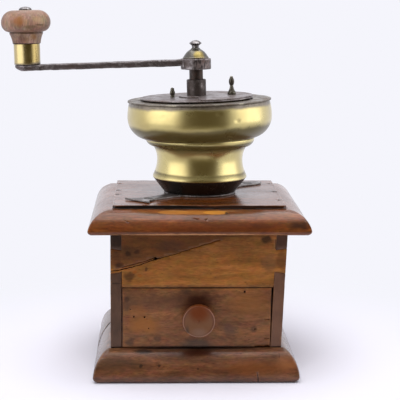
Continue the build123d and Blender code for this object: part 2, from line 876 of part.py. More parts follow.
# ---------------------------------------------------------------- hopper
def make_hopper_neck():
    """The waisted brass neck with the rounded bead that the bowl sits on."""
    foot, waist, shoulder = neck_foot_radius, neck_waist_radius, neck_shoulder_radius
    foot_z, waist_z, shoulder_z = housing_rim_z, neck_waist_z, neck_shoulder_z
    lip, lip_z = foot - neck_lip_draw, foot_z + neck_foot_height
    outside = [
        ThreePointArc((foot, foot_z), (foot + neck_lip_draw, (foot_z + lip_z) / 2), (lip, lip_z)),
        TangentArc((waist, waist_z), (lip, lip_z), tangent=(0, -1)),
        TangentArc((waist, waist_z), (shoulder, shoulder_z), tangent=(0, 1)),
        SagittaArc((shoulder, shoulder_z), (bead_radius, seat_z), -bead_bulge),
    ]
    inside = [
        Line((bead_radius, seat_z), (bowl_hole_radius, seat_z)),
        Line((bowl_hole_radius, seat_z), (shoulder - sheet, shoulder_z)),
        TangentArc((waist - sheet, waist_z), (shoulder - sheet, shoulder_z), tangent=(0, 1)),
        TangentArc((waist - sheet, waist_z), (lip - sheet, lip_z), tangent=(0, -1)),
        Line((lip - sheet, lip_z), (foot - sheet, foot_z)),
        Line((foot - sheet, foot_z), (foot, foot_z)),
    ]
    return upright * turned(*outside, *inside)


def bowl_outline(inset, foot_height):
    """The bowl's outer surface, taken in by the given amount, as a turned body in the bowl's frame."""
    lower_centre = bowl_radius - bowl_lower_round
    upper_centre = bowl_radius - bowl_upper_round
    lower, upper = bowl_lower_round - inset, bowl_upper_round - inset
    belly = bowl_belly_height
    lower_middle = math.radians(45)
    rim_angle = math.asin((rim_height - belly) / upper)
    rim_edge = upper_centre + upper * math.cos(rim_angle)
    return turned(
        Line((0, foot_height), (lower_centre, foot_height)),
        ThreePointArc(
            (lower_centre, foot_height),
            (lower_centre + lower * math.sin(lower_middle), belly - lower * math.cos(lower_middle)),
            (lower_centre + lower, belly),
        ),
        ThreePointArc(
            (upper_centre + upper, belly),
            (upper_centre + upper * math.cos(rim_angle / 2), belly + upper * math.sin(rim_angle / 2)),
            (rim_edge, rim_height),
        ),
        Line((rim_edge, rim_height), (0, rim_height)),
        Line((0, rim_height), (0, foot_height)),
    )


def make_hopper_bowl():
    """The spun brass bowl, trimmed level where it sits on the neck."""
    foot = bowl_belly_height - bowl_lower_round
    solid = bowl_frame * bowl_outline(0, foot)
    hollow = bowl_frame * bowl_outline(sheet, foot + sheet)
    reach = bowl_radius * 1.2
    above_seat = upright * disc(reach, seat_z, seat_z + rim_height)
    shell = (solid & above_seat) - hollow
    floor = (upright * disc(reach, seat_z, seat_z + sheet)) & solid
    shell += floor
    return shell - upright * disc(bowl_hole_radius, seat_z - 5, seat_z + 5)


def make_rim_ring():
    """The flat iron ring on the bowl's edge that the lid lies on."""
    whole = ring(rim_radius, rim_inner_radius, rim_height, rim_height + rim_thickness)
    for rivet in beam_rivets_local():
        whole -= rivet
    return bowl_frame * whole


def beam_rivets_local():
    """The flush rivets that hold the upper bridge to the ring, in the bowl's frame."""
    for way in (1, -1):
        for side in (1, -1):
            place = Pos(way * beam_rivet_at, side * (beam_width / 2 - beam_rivet_inset), 0)
            yield place * disc(beam_rivet_radius, rim_height - beam_thickness, rim_height + rim_thickness)


def make_upper_bridge():
    """The iron bar across the bowl's mouth that carries the bearing sleeve and the lid."""
    half, middle, bent = beam_half_length, beam_raised_half, beam_raised_half + beam_bend_length
    low, high, t = rim_height, lid_foot_height, beam_thickness
    under = [(-half, low), (-bent, low), (-middle, high), (middle, high), (bent, low), (half, low)]
    outline = [(x, z - t) for x, z in under] + under[::-1]
    bar = board_along_y(outline, -beam_width / 2, beam_width / 2)
    beam = bowl_frame * (bar & disc(half, low - 2 * t, high))
    for rivet in beam_rivets_local():
        beam -= bowl_frame * rivet
    beam -= spindle_frame * disc(sleeve_radius, low - 2 * t, high + t)
    for hole in (stop_pin_shank(), lid_screw_body()[0]):
        beam -= hole
    return beam


def make_bearing_sleeve():
    """The iron sleeve that the spindle turns in."""
    bore = spindle_radius + fit_clearance
    return spindle_frame * turned_outline(
        (bore, lid_foot_height - beam_thickness), (sleeve_radius, lid_foot_height - beam_thickness),
        (sleeve_radius, sleeve_top_height - sleeve_bevel), (sleeve_radius - sleeve_bevel, sleeve_top_height),
        (bore, sleeve_top_height),
    )


# ---------------------------------------------------------------- lid


def stop_pin_shank():
    """The stop pin's screw, through the lid into the upper bridge."""
    place = spindle_frame * Pos(-stop_pin_at, 0, 0)
    return place * disc(small_screw_radius, lid_foot_height - beam_thickness, lid_top_height)


def lid_screw_body():
    """The flush screw under the door: its full body, and the body with its slot."""
    head_radius = small_screw_radius + lid_thickness - lid_screw_land
    full, slotted = countersunk_screw(
        head_radius, small_screw_radius, lid_thickness + beam_thickness, small_screw_slot
    )
    place = spindle_frame * Pos(lid_screw_at, 0, lid_top_height)
    return place * full, place * slotted


def make_lid_plate():
    """The fixed round lid with its filling window."""
    plate = disc(lid_radius, lid_foot_height, lid_top_height)
    plate -= disc(sleeve_radius + fit_clearance, lid_foot_height - 1, lid_top_height + 1)
    plate -= sector(
        window_inner_radius, window_outer_radius, window_start_deg, window_end_deg,
        lid_foot_height - 1, lid_top_height + 1,
    )
    return spindle_frame * plate - stop_pin_shank() - lid_screw_body()[0]


def make_lid_door():
    """The half-round door that turns about the sleeve."""
    z0, z1, eye_radius = door_foot_height, door_top_height, sleeve_radius + fit_clearance
    leaf = sector(eye_radius, door_radius, -door_half_angle_deg, door_half_angle_deg, z0, z1)
    eye = ring(door_ring_radius, eye_radius, z0, z1)
    finial_hole = Pos(door_finial_at, 0, 0) * disc(small_screw_radius, z0 - 1, z1 + 1)
    return spindle_frame * (leaf + eye - finial_hole)


def make_door_finial():
    """The turned knob on the door."""
    z, top = door_top_height, door_top_height + finial_height
    shank, foot = small_screw_radius, finial_foot_radius - finial_foot_draw
    foot_rim = (finial_foot_radius, z + finial_foot_height)
    shoulder = (finial_shoulder_radius, z + finial_shoulder_height)
    waist = (finial_waist_radius, z + finial_waist_height)
    bulb = (finial_bulb_radius, top - finial_bulb_drop)
    crown_edge = (finial_crown_radius, top - finial_crown_rise)
    body = turned(
        Line((0, z - door_thickness), (shank, z - door_thickness)),
        Line((shank, z - door_thickness), (shank, z)),
        Line((shank, z), (foot, z)),
        Line((foot, z), foot_rim),
        Line(foot_rim, shoulder),
        TangentArc(waist, shoulder, tangent=(0, -1)),
        ThreePointArc(waist, bulb, crown_edge),
        crown(*crown_edge, top),
        Line((0, top), (0, z - door_thickness)),
    )
    return spindle_frame * Pos(door_finial_at, 0, 0) * body


def make_stop_pin():
    """The small acorn-headed pin that holds the lid and stops the door."""
    z, top = lid_top_height, lid_top_height + stop_pin_height
    neck = (stop_pin_neck_radius, z + stop_pin_neck_height)
    brow = (stop_pin_radius, z + stop_pin_brow_height)
    crown_edge = (stop_pin_crown_radius, top - stop_pin_crown_rise)
    head = turned(
        Line((0, z), (stop_pin_foot_radius, z)),
        Line((stop_pin_foot_radius, z), neck),
        ThreePointArc(neck, brow, crown_edge),
        crown(*crown_edge, top),
        Line((0, top), (0, z)),
    )
    return spindle_frame * Pos(-stop_pin_at, 0, 0) * head + stop_pin_shank()


# ---------------------------------------------------------------- spindle and crank
def tang(width, z0, z1):
    """The square end of the spindle, or the hole for it, with its corners off."""
    square = Pos(0, 0, (z0 + z1) / 2) * Box(width, width, z1 - z0)
    return square & disc(tang_corner_radius, z0, z1)


def make_spindle():
    """The spindle from its cupped toe to its square, tapped end."""
    rod = disc(spindle_radius, ball_standoff, hub_foot_height)
    rod += tang(tang_width, hub_foot_height - 1, hub_top_height - tang_sink)
    rod -= Sphere(ball_radius + ball_clearance)
    rod -= disc(screw_radius, hub_top_height - screw_length + washer_height, hub_top_height + 1)
    return spindle_frame * rod - make_burr_pin()


def arm_outline(top):
    """The crank's side view: level at the hub, sloping down, level under the handle, and thin at the tip."""
    root_top, root_foot = top - arm_step, top - arm_root_thickness
    pad_top, pad_foot = top - arm_droop, top - arm_droop - arm_thickness
    root_at, end = arm_root_inset - hub_radius, -crank_length - pad_radius
    pad_start = -crank_length + pad_radius
    return [
        (root_at, root_top), (pad_start, pad_top), (end, pad_top), (end, pad_top - arm_tip_thickness),
        (end + arm_tip_slope, pad_foot), (pad_start, pad_foot),
        (root_at, root_foot), (hub_radius, root_foot), (hub_radius, root_top),
    ]


def make_crank_arm():
    """The forged crank: a hub with a square hole, a flat arm and a round pad for the handle."""
    top = hub_top_height
    plan = Pos(-crank_length, 0) * Circle(pad_radius)
    plan += Pos(-crank_length / 2, 0) * Rectangle(crank_length, arm_width)
    corners = plan.vertices().filter_by(
        lambda v: abs(abs(v.Y) - arm_width / 2) < 0.01 and v.X < -crank_length / 2
    )
    plan = fillet(corners, arm_fillet)
    prism = Pos(0, 0, top - hub_height) * extrude(plan, amount=hub_height, dir=(0, 0, 1))
    arm = prism & board_along_y(arm_outline(top), -pad_radius, pad_radius)
    hub = disc(hub_radius, hub_foot_height, top)
    hole = tang(tang_width, hub_foot_height - 1, top + 1)
    axle_hole = Pos(-crank_length, 0, 0) * disc(axle_radius, top - hub_height, top + 1)
    return spindle_frame * (arm + hub - hole - axle_hole)


def make_dome_washer():
    """The domed brass washer over the crank's hub."""
    z = hub_top_height
    lip = (washer_radius - washer_lip_draw, z + washer_lip_height)
    crown_edge = (washer_crown_radius, z + washer_height)
    return spindle_frame * turned(
        Line((screw_radius, z), (washer_radius, z)),
        SagittaArc((washer_radius, z), lip, -washer_lip_bulge),
        SagittaArc(lip, crown_edge, -washer_dome_bulge),
        Line(crown_edge, (screw_radius, z + washer_height)),
        Line((screw_radius, z + washer_height), (screw_radius, z)),
    )


def make_crank_screw():
    """The screw with a lobed head that holds washer and crank on the spindle."""
    z = hub_top_height + washer_height
    shank = disc(screw_radius, z - screw_length, z)
    top = z + screw_head_height
    neck = (screw_head_neck_radius, z + screw_head_neck_height)
    crown_edge = (screw_head_radius, top - screw_head_crown_rise)
    head = turned(
        Line((0, z), (screw_head_foot_radius, z)),
        Line((screw_head_foot_radius, z), neck),
        Line(neck, crown_edge),
        crown(*crown_edge, top),
        Line((0, top), (0, z)),
    )
    groove = Pos(screw_head_radius + screw_lobe_out, 0, top) * Rot(0, -screw_lobe_tilt_deg, 0)
    groove *= Cylinder(screw_lobe_radius, 2 * screw_head_height)
    for index in range(screw_lobe_count):
        head -= Rot(0, 0, 360 * (index + 0.5) / screw_lobe_count) * groove
    return spindle_frame * (shank + head)


# ---------------------------------------------------------------- handle
def make_knob_axle():
    """The riveted pin that the handle turns on."""
    top = handle_gap + handle_height + handle_gap + axle_washer_thickness
    head = turned(
        Line((0, top), (axle_head_radius, top)),
        crown(axle_head_radius, top, top + axle_head_height),
        Line((0, top + axle_head_height), (0, top)),
    )
    return handle_frame * (disc(axle_radius, -arm_thickness, top) + head)


def make_axle_washer():
    """The washer between the handle and the rivet's head."""
    foot = handle_gap + handle_height + handle_gap
    return handle_frame * ring(axle_washer_radius, axle_radius, foot, foot + axle_washer_thickness)


def make_knob_ferrule():
    """The brass ferrule on the handle's neck."""
    return handle_frame * ring(
        ferrule_radius, ferrule_radius - ferrule_wall, handle_gap, handle_gap + ferrule_height
    )


def make_handle_knob():
    """The turned wooden handle with its neck in the ferrule."""
    foot, bore, tenon = handle_gap, axle_radius + fit_clearance, ferrule_radius - ferrule_wall
    neck_z, top_z = foot + ferrule_height, foot + handle_height
    neck = (handle_neck_radius, neck_z)
    crease = (handle_crease_radius, foot + handle_crease_height)
    belly = (handle_radius, foot + handle_belly_height)
    crown_edge = (handle_crown_radius, top_z - handle_crown_rise)
    return handle_frame * turned(
        Line((bore, foot), (tenon, foot)),
        Line((tenon, foot), (tenon, neck_z)),
        Line((tenon, neck_z), neck),
        SagittaArc(neck, crease, handle_neck_hollow),
        TangentArc(belly, crease, tangent=(0, -1)),
        TangentArc(belly, crown_edge, tangent=(0, 1)),
        Line(crown_edge, (bore, top_z)),
        Line((bore, top_z), (bore, foot)),
    )


# ---------------------------------------------------------------- build and write
def cut(shape, tools):
    """The shape with every tool taken out of it."""
    for tool in tools:
        shape -= tool
    return shape


def placed_screws(screw, places):
    """A screw's full bodies, to cut their holes with, and its slotted bodies in one compound."""
    full, slotted = screw
    places = list(places)
    return [place * full for place in places], Compound([place * slotted for place in places])


def main():
    """Builds every sub-part and writes it."""
    top_nails, base_nails, drawer_nails = make_top_nails(), make_base_nails(), make_drawer_nails()
    strap_screw = countersunk_screw(strap_screw_head_radius, strap_screw_radius, strap_screw_length)
    bridge_screw = countersunk_screw(bridge_screw_head_radius, bridge_screw_radius, bridge_screw_length)
    strap_cuts, strap_screws = placed_screws(strap_screw, strap_screw_places())
    bridge_cuts, bridge_screws = placed_screws(bridge_screw, bridge_screw_places())

    left_side = cut(make_side_board(-1), [*front_tails(), *back_tails(), *top_nails, *base_nails])
    right_side = cut(make_side_board(1), [*front_tails(), *back_tails(), *top_nails, *base_nails])
    parts = {
        "base_board": cut(make_base_board(), base_nails),
        "left_side_board": left_side,
        "right_side_board": right_side,
        "front_panel": make_front_panel(),
        "back_board": make_back_board(),
        "top_board": cut(make_top_board(), [*top_nails, *strap_cuts, *bridge_cuts]),
        "left_kicker_strip": make_kicker(-1),
        "right_kicker_strip": make_kicker(1),
        "top_nails": Compound(top_nails),
        "base_nails": Compound(base_nails),
        "drawer_front": make_drawer_front(),
        "drawer_left_side": cut(make_drawer_side(-1), drawer_nails),
        "drawer_right_side": cut(make_drawer_side(1), drawer_nails),
        "drawer_back": cut(make_drawer_back(), drawer_nails),
        "drawer_floor": make_drawer_floor(),
        "drawer_nails": Compound(drawer_nails),
        "drawer_knob": make_drawer_knob(),
        "mounting_strap": cut(make_mounting_strap(), strap_cuts),
        "strap_screws": strap_screws,
        "burr_housing": make_burr_housing(),
        "outer_burr": make_outer_burr(),
        "inner_burr": make_inner_burr(),
        "burr_pin": make_burr_pin(),
        "lower_bridge": cut(make_lower_bridge(), bridge_cuts),
        "bridge_screws": bridge_screws,
        "adjusting_screw": make_adjusting_screw(),
        "lock_nut": make_lock_nut(),
        "thrust_ball": Pos(mill_x, 0, toe_z) * Sphere(ball_radius),
        "hopper_neck": make_hopper_neck(),
        "hopper_bowl": make_hopper_bowl(),
        "rim_ring": make_rim_ring(),
        "upper_bridge": make_upper_bridge(),
        "beam_rivets": Compound([bowl_frame * rivet for rivet in beam_rivets_local()]),
        "bearing_sleeve": make_bearing_sleeve(),
        "lid_plate": make_lid_plate(),
        "lid_screw": lid_screw_body()[1],
        "lid_stop_pin": make_stop_pin(),
        "lid_door": make_lid_door(),
        "door_finial": make_door_finial(),
        "spindle": make_spindle(),
        "crank_arm": make_crank_arm(),
        "dome_washer": make_dome_washer(),
        "crank_screw": make_crank_screw(),
        "knob_axle": make_knob_axle(),
        "axle_washer": make_axle_washer(),
        "knob_ferrule": make_knob_ferrule(),
        "handle_knob": make_handle_knob(),
    }
    for name, shape in parts.items():
        export(name, shape)


main()
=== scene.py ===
"""Looks of a hand crank coffee mill: a dovetailed fruitwood box with a drawer, under a spun brass hopper.

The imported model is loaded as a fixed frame. Each sub-assembly is a class that remakes its visible pieces
around that frame, with their wear, and dresses them. Blender's metres are used throughout. Sizes written in
millimetres are multiplied by MM where they are used.
"""

import json
import logging
import math
from dataclasses import dataclass, field, replace
from enum import Enum
from typing import Callable, Iterable, Sequence

import bmesh
import bpy
from mathutils import Matrix, Vector, noise
from mathutils.bvhtree import BVHTree
from mathutils.kdtree import KDTree

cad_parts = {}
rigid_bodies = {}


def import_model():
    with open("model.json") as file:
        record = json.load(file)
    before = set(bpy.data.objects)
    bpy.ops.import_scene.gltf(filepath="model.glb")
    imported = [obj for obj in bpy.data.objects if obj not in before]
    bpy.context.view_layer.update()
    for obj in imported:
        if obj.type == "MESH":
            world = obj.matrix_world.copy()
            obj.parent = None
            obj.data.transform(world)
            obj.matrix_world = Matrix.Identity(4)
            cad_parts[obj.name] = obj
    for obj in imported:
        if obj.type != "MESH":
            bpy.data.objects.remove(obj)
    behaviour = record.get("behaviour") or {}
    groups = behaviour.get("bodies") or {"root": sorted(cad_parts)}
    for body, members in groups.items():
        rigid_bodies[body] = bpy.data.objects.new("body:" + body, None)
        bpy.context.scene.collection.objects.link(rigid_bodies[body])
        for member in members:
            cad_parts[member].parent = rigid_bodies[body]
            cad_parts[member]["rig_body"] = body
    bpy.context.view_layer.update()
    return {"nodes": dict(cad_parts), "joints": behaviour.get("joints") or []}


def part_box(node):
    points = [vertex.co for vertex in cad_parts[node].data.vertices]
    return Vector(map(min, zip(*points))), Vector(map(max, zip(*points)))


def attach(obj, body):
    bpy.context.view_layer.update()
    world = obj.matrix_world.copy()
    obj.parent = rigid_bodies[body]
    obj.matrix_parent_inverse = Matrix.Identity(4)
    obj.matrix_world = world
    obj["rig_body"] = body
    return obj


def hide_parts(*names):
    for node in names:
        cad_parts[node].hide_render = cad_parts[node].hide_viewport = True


LOG = logging.getLogger("coffee_mill")
MM = 0.001
Point = tuple[float, float, float]
Tree = bpy.types.NodeTree
Socket = bpy.types.NodeSocket
Material = bpy.types.Material
Piece = bpy.types.Object
Mesh = bmesh.types.BMesh

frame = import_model()


# ---------------------------------------------------------------- colour and nodes
def linear(code: str) -> tuple[float, float, float, float]:
    """Turns an sRGB hex colour into linear red, green, blue and alpha.

    Args:
        code: The colour as "#rrggbb".

    Returns:
        Four linear values, with alpha 1.
    """
    shares = [int(code[i : i + 2], 16) / 255 for i in (1, 3, 5)]
    return (*[s / 12.92 if s <= 0.04045 else ((s + 0.055) / 1.055) ** 2.4 for s in shares], 1.0)


def add(
    tree: Tree,
    kind: str,
    inputs: dict[str | int, object] | None = None,
    output: str | int = 0,
    **settings: object,
) -> Socket | None:
    """Adds a node with its settings and links.

    Args:
        tree: The node tree that gets the node.
        kind: The node's Blender type, without the "ShaderNode" that starts each.
        inputs: Values or sockets for the node's inputs, by name or number.
        output: The output that is wanted back.
        **settings: The node's own properties.

    Returns:
        The wanted output socket, or None for a node without outputs.
    """
    node = tree.nodes.new(f"ShaderNode{kind}")
    for name, value in settings.items():
        setattr(node, name, value)
    for name, value in (inputs or {}).items():
        if isinstance(value, Socket):
            tree.links.new(value, node.inputs[name])
        else:
            node.inputs[name].default_value = value
    return node.outputs[output] if len(node.outputs) else None


def new_material(name: str) -> tuple[Material, Tree]:
    """Makes an empty node material.

    Args:
        name: The material's name.

    Returns:
        The material and its node tree.
    """
    material = bpy.data.materials.new(name)
    material.use_nodes = True
    material.node_tree.nodes.clear()
    return material, material.node_tree


# ---------------------------------------------------------------- finishes
class Grain(Enum):
    """The way that the grain of a board or turning runs."""

    ALONG_X = 0
    ALONG_Y = 1
    ALONG_Z = 2


@dataclass(frozen=True)
class StainOrPaintedLight:
    """A mark on the wood, such as a smudge, a burn, a nail's rust or a worn spot, or a painted shadow,
    highlight or reflection.

    Attributes:
        at: The middle, in millimetres from the lowest corner of the node's box.
        reach: Half its size along X, Y and Z, in millimetres.
        colour: What the wood turns to.
        strength: How much of that colour shows in the middle.
        edge: The share of the reach that fades out.
        ragged: How far its outline strays, as a share of its smallest reach.
        above: Two points on the surface, if the mark stops short at the line through them and lies above it.
    """

    at: Point
    reach: Point
    colour: str
    strength: float = 0.7
    edge: float = 0.6
    ragged: float = 1.1
    above: tuple[Point, Point] | None = None


@dataclass(frozen=True)
class AgedWood:
    """Fruitwood, planed or turned, waxed and handled for a century.

    It is warm brown and quietly streaked, with the soft shine of a thin wax film.

    Attributes:
        name: The material's name.
        dark: Colour of the dark figure.
        body: Colour of most of the wood.
        light: Colour of the pale figure.
        worn: Colour of rubbed edges.
        grain: The way that the grain runs.
        end: Colour of the end grain, which drinks the wax and is darker and greyer.
        figure_mm: Width of the bands of figure.
        fibre_mm: Width of the fibres. Real ones are about 0.1 mm; they are drawn coarser, to show.
        mottle_mm: Size of the cloudy patches.
        cloud: How much the cloudy patches darken and lighten the wood.
        thread: How much the fibres do.
        hue_drift: How far old wax and handling pull the colour to pink in one place and to olive in the next.
        roughness: Roughness of the waxed surface.
        sheen: Level of the bare wood's own reflection, which old fibres scatter.
        coat: Weight of the wax and varnish film, which mirrors the surroundings at low angles.
        coat_roughness: Roughness of that film.
        pore_share: Share of the cells that hold a dark pore.
        stains_and_painted_light: Marks in their places, among them painted shadows, highlights and
            reflections.
        corner: The corner that the marks are measured from, in metres.
        seed: Shifts every pattern, so that no two boards match.
        sway_mm: The length over which the grain sways, and how far it does.
        tint_mm: Width of the patches of pink and olive.
        pore_mm: Width of the cells that may hold a pore. Real pores are finer; these are coarser, to show.
        ragged_mm: Size of the rags along the outline of a mark.
    """

    name: str
    dark: str
    body: str
    light: str
    worn: str
    grain: Grain
    end: str = "#4a352a"
    figure_mm: float = 5.0
    fibre_mm: float = 1.1
    mottle_mm: float = 18.0
    cloud: float = 0.2
    thread: float = 0.27
    hue_drift: float = 0.7
    roughness: float = 0.45
    sheen: float = 0.15
    coat: float = 0.45
    coat_roughness: float = 0.2
    pore_share: float = 0.35
    stains_and_painted_light: tuple[StainOrPaintedLight, ...] = ()
    corner: Point = (0.0, 0.0, 0.0)
    seed: float = 0.0
    sway_mm: tuple[float, float] = (45.0, 9.0)
    tint_mm: float = 4.5
    pore_mm: float = 1.3
    ragged_mm: float = 5.0

    def stretched(self, width_mm: float, length: float) -> Point:
        """Scale for a pattern of one width across the grain, and a multiple of that along it.

        Args:
            width_mm: The pattern's width.
            length: How many times its width it is long.

        Returns:
            The scale along X, Y and Z.
        """
        scale = [1 / (width_mm * MM)] * 3
        scale[self.grain.value] /= length
        return tuple(scale)

    def build(self) -> Material:
        """Makes the material.

        Returns:
            The material.
        """
        material, tree = new_material(self.name)
        here = add(tree, "TexCoord", output="Object")
        moved = add(tree, "VectorMath", {0: here, 1: (self.seed, self.seed * 0.7, -self.seed)})
        sway_length, sway_reach = (size * MM for size in self.sway_mm)
        drift = add(tree, "TexNoise", {"Vector": moved, "Scale": 1 / sway_length, "Detail": 1.0}, 1)
        drift = add(tree, "VectorMath", {0: drift, 1: (0.5, 0.5, 0.5)}, operation="SUBTRACT")
        drift = add(tree, "VectorMath", {0: drift, "Scale": sway_reach}, operation="SCALE")
        place = add(tree, "VectorMath", {0: moved, 1: drift})
        noises = []
        widths_mm = (self.figure_mm, self.fibre_mm, self.mottle_mm)
        for width_mm, length, detail in zip(widths_mm, (9, 4, 1.6), (5.0, 3.0, 5.0)):
            scaled = add(tree, "Mapping", {"Vector": place, "Scale": self.stretched(width_mm, length)})
            noises.append(add(tree, "TexNoise", {"Vector": scaled, "Scale": 1.0, "Detail": detail}))
        figure, fibre, mottle = noises

        colour = self.streaked(tree, figure)
        cloud = add(tree, "MapRange", {0: mottle, 1: 0.3, 2: 0.7, 3: 1 - self.cloud, 4: 1 + self.cloud})
        thread = add(tree, "MapRange", {0: fibre, 1: 0.3, 2: 0.7, 3: 1 - self.thread, 4: 1 + self.thread})
        colour = add(
            tree, "Mix",
            {0: 1.0, 6: colour, 7: add(tree, "Math", {0: cloud, 1: thread}, operation="MULTIPLY")}, 2,
            data_type="RGBA", blend_type="MULTIPLY",
        )
        tint = add(tree, "Mapping", {"Vector": place, "Scale": self.stretched(self.tint_mm, 1.8)})
        tint = add(tree, "TexNoise", {"Vector": tint, "Scale": 1.0, "Detail": 5.0, "Roughness": 0.65}, 1)
        drift = self.hue_drift
        tint = add(
            tree, "VectorMath",
            {0: tint, 1: (drift, drift, 1.5 * drift), 2: (1 - drift / 2, 1 - drift / 2, 1 - 0.75 * drift)},
            operation="MULTIPLY_ADD",
        )
        colour = add(tree, "VectorMath", {0: colour, 1: tint}, operation="MULTIPLY")
        pore = self.pores(tree, place)
        faint = add(tree, "Math", {0: pore, 1: 0.55}, operation="MULTIPLY")
        colour = add(tree, "Mix", {0: faint, 6: colour, 7: linear("#20120a")}, 2, data_type="RGBA")

        facing = add(tree, "TexCoord", output="Normal")
        axis = tuple(1.0 if i == self.grain.value else 0.0 for i in range(3))
        across = add(tree, "VectorMath", {0: facing, 1: axis}, "Value", operation="DOT_PRODUCT")
        across = add(tree, "Math", {0: across}, operation="ABSOLUTE")
        across = add(tree, "MapRange", {0: across, 1: 0.6, 2: 0.9, 3: 0.0, 4: 0.85})
        end = add(
            tree, "Mix", {0: 1.0, 6: linear(self.end), 7: cloud}, 2, data_type="RGBA", blend_type="MULTIPLY"
        )
        colour = add(tree, "Mix", {0: across, 6: colour, 7: end}, 2, data_type="RGBA")
        rubbed = add(tree, "Attribute", output="Fac", attribute_name="wear")
        patchy = add(tree, "MapRange", {0: mottle, 1: 0.3, 2: 0.52})
        rubbed = add(tree, "MapRange", {0: rubbed, 1: 0.25, 2: 0.9, 3: 0.0, 4: 0.9})
        rubbed = add(tree, "Math", {0: rubbed, 1: patchy}, operation="MULTIPLY")
        colour = add(tree, "Mix", {0: rubbed, 6: colour, 7: linear(self.worn)}, 2, data_type="RGBA")
        colour = self.with_marks_and_painted_light(tree, here, colour)

        matt = add(
            tree, "MapRange", {0: mottle, 1: 0.3, 2: 0.7, 3: self.roughness + 0.08, 4: self.roughness - 0.06}
        )
        height = add(tree, "Math", {0: fibre, 1: pore}, operation="SUBTRACT")
        film: Socket | float = 0.0
        if self.coat:
            polish = add(tree, "Mix", {0: 0.4, 2: height, 3: mottle})
            film = add(tree, "MapRange", {0: polish, 1: 0.35, 2: 0.65, 3: self.coat * 0.7, 4: self.coat})
        relief = add(tree, "Bump", {"Strength": 0.3, "Distance": 0.1 * MM, "Height": height})
        shader = add(
            tree, "BsdfPrincipled",
            {
                "Base Color": colour, "Roughness": matt, "Normal": relief, "Specular IOR Level": self.sheen,
                "Coat Weight": film, "Coat Roughness": self.coat_roughness, "Coat IOR": 1.4,
                "Coat Normal": relief,
            },
        )
        add(tree, "OutputMaterial", {"Surface": shader})
        return material

    def streaked(self, tree: Tree, figure: Socket) -> Socket:
        """The wood's own colour: dark, body and pale streaks.

        Args:
            tree: The material's node tree.
            figure: The noise of the figure.

        Returns:
            The colour.
        """
        low = add(tree, "MapRange", {0: figure, 1: 0.32, 2: 0.5})
        high = add(tree, "MapRange", {0: figure, 1: 0.5, 2: 0.7})
        colour = add(tree, "Mix", {0: low, 6: linear(self.dark), 7: linear(self.body)}, 2, data_type="RGBA")
        return add(tree, "Mix", {0: high, 6: colour, 7: linear(self.light)}, 2, data_type="RGBA")

    def pores(self, tree: Tree, place: Socket) -> Socket:
        """Short dark pores along the grain.

        Args:
            tree: The material's node tree.
            place: The place on the piece.

        Returns:
            1 in a pore and 0 beside it.
        """
        cells = add(tree, "Mapping", {"Vector": place, "Scale": self.stretched(self.pore_mm, 3.2)})
        away = add(tree, "TexVoronoi", {"Vector": cells, "Scale": 1.0}, "Distance")
        lot = add(tree, "TexVoronoi", {"Vector": cells, "Scale": 1.0}, "Color")
        lot = add(tree, "Math", {0: lot, 1: self.pore_share}, operation="LESS_THAN")
        near = add(tree, "MapRange", {0: away, 1: 0.26, 2: 0.1})
        return add(tree, "Math", {0: near, 1: lot}, operation="MULTIPLY")

    def corner_point(self, point: Point) -> Vector:
        """A point given in millimetres from the node's lowest corner, in the frame."""
        return Vector([c + p * MM for c, p in zip(self.corner, point)])

    def with_marks_and_painted_light(self, tree: Tree, here: Socket, colour: Socket) -> Socket:
        """Lays the marks, painted shade and highlights among them, over the wood's colour.

        Args:
            tree: The material's node tree.
            here: The place on the piece.
            colour: The wood's colour.

        Returns:
            The colour with its marks.
        """
        if not self.stains_and_painted_light:
            return colour
        size = 1 / (self.ragged_mm * MM)
        ragged = add(tree, "TexNoise", {"Vector": here, "Scale": size, "Detail": 4.0}, 1)
        ragged = add(tree, "VectorMath", {0: ragged, 1: (0.5, 0.5, 0.5)}, operation="SUBTRACT")
        # Some of these marks are painted shadow, highlight or reflection rather than stains.
        for stain_or_light in self.stains_and_painted_light:
            loose = min(9.0, stain_or_light.ragged * min(stain_or_light.reach)) * MM
            stray = add(tree, "VectorMath", {0: ragged, "Scale": loose}, operation="SCALE")
            near = add(tree, "VectorMath", {0: here, 1: stray})
            middle = self.corner_point(stain_or_light.at)
            near = add(tree, "VectorMath", {0: near, 1: middle}, operation="SUBTRACT")
            reach = [r * MM for r in stain_or_light.reach]
            near = add(tree, "VectorMath", {0: near, 1: reach}, operation="DIVIDE")
            away = add(tree, "VectorMath", {0: near}, "Value", operation="LENGTH")
            share = add(
                tree, "MapRange", {0: away, 1: 1.0, 2: 1.0 - stain_or_light.edge, 3: 0.0, 4: stain_or_light.strength},
                interpolation_type="SMOOTHSTEP",
            )
            if stain_or_light.above:
                start, end = (self.corner_point(point) for point in stain_or_light.above)
                side = Vector((start.z - end.z, 0.0, end.x - start.x)).normalized()
                over = add(tree, "VectorMath", {0: here, 1: start}, operation="SUBTRACT")
                over = add(tree, "VectorMath", {0: over, 1: side}, "Value", operation="DOT_PRODUCT")
                over = add(tree, "MapRange", {0: over, 1: -0.2 * MM, 2: 0.5 * MM})
                share = add(tree, "Math", {0: share, 1: over}, operation="MULTIPLY")
            colour = add(tree, "Mix", {0: share, 6: colour, 7: linear(stain_or_light.colour)}, 2, data_type="RGBA")
        return colour


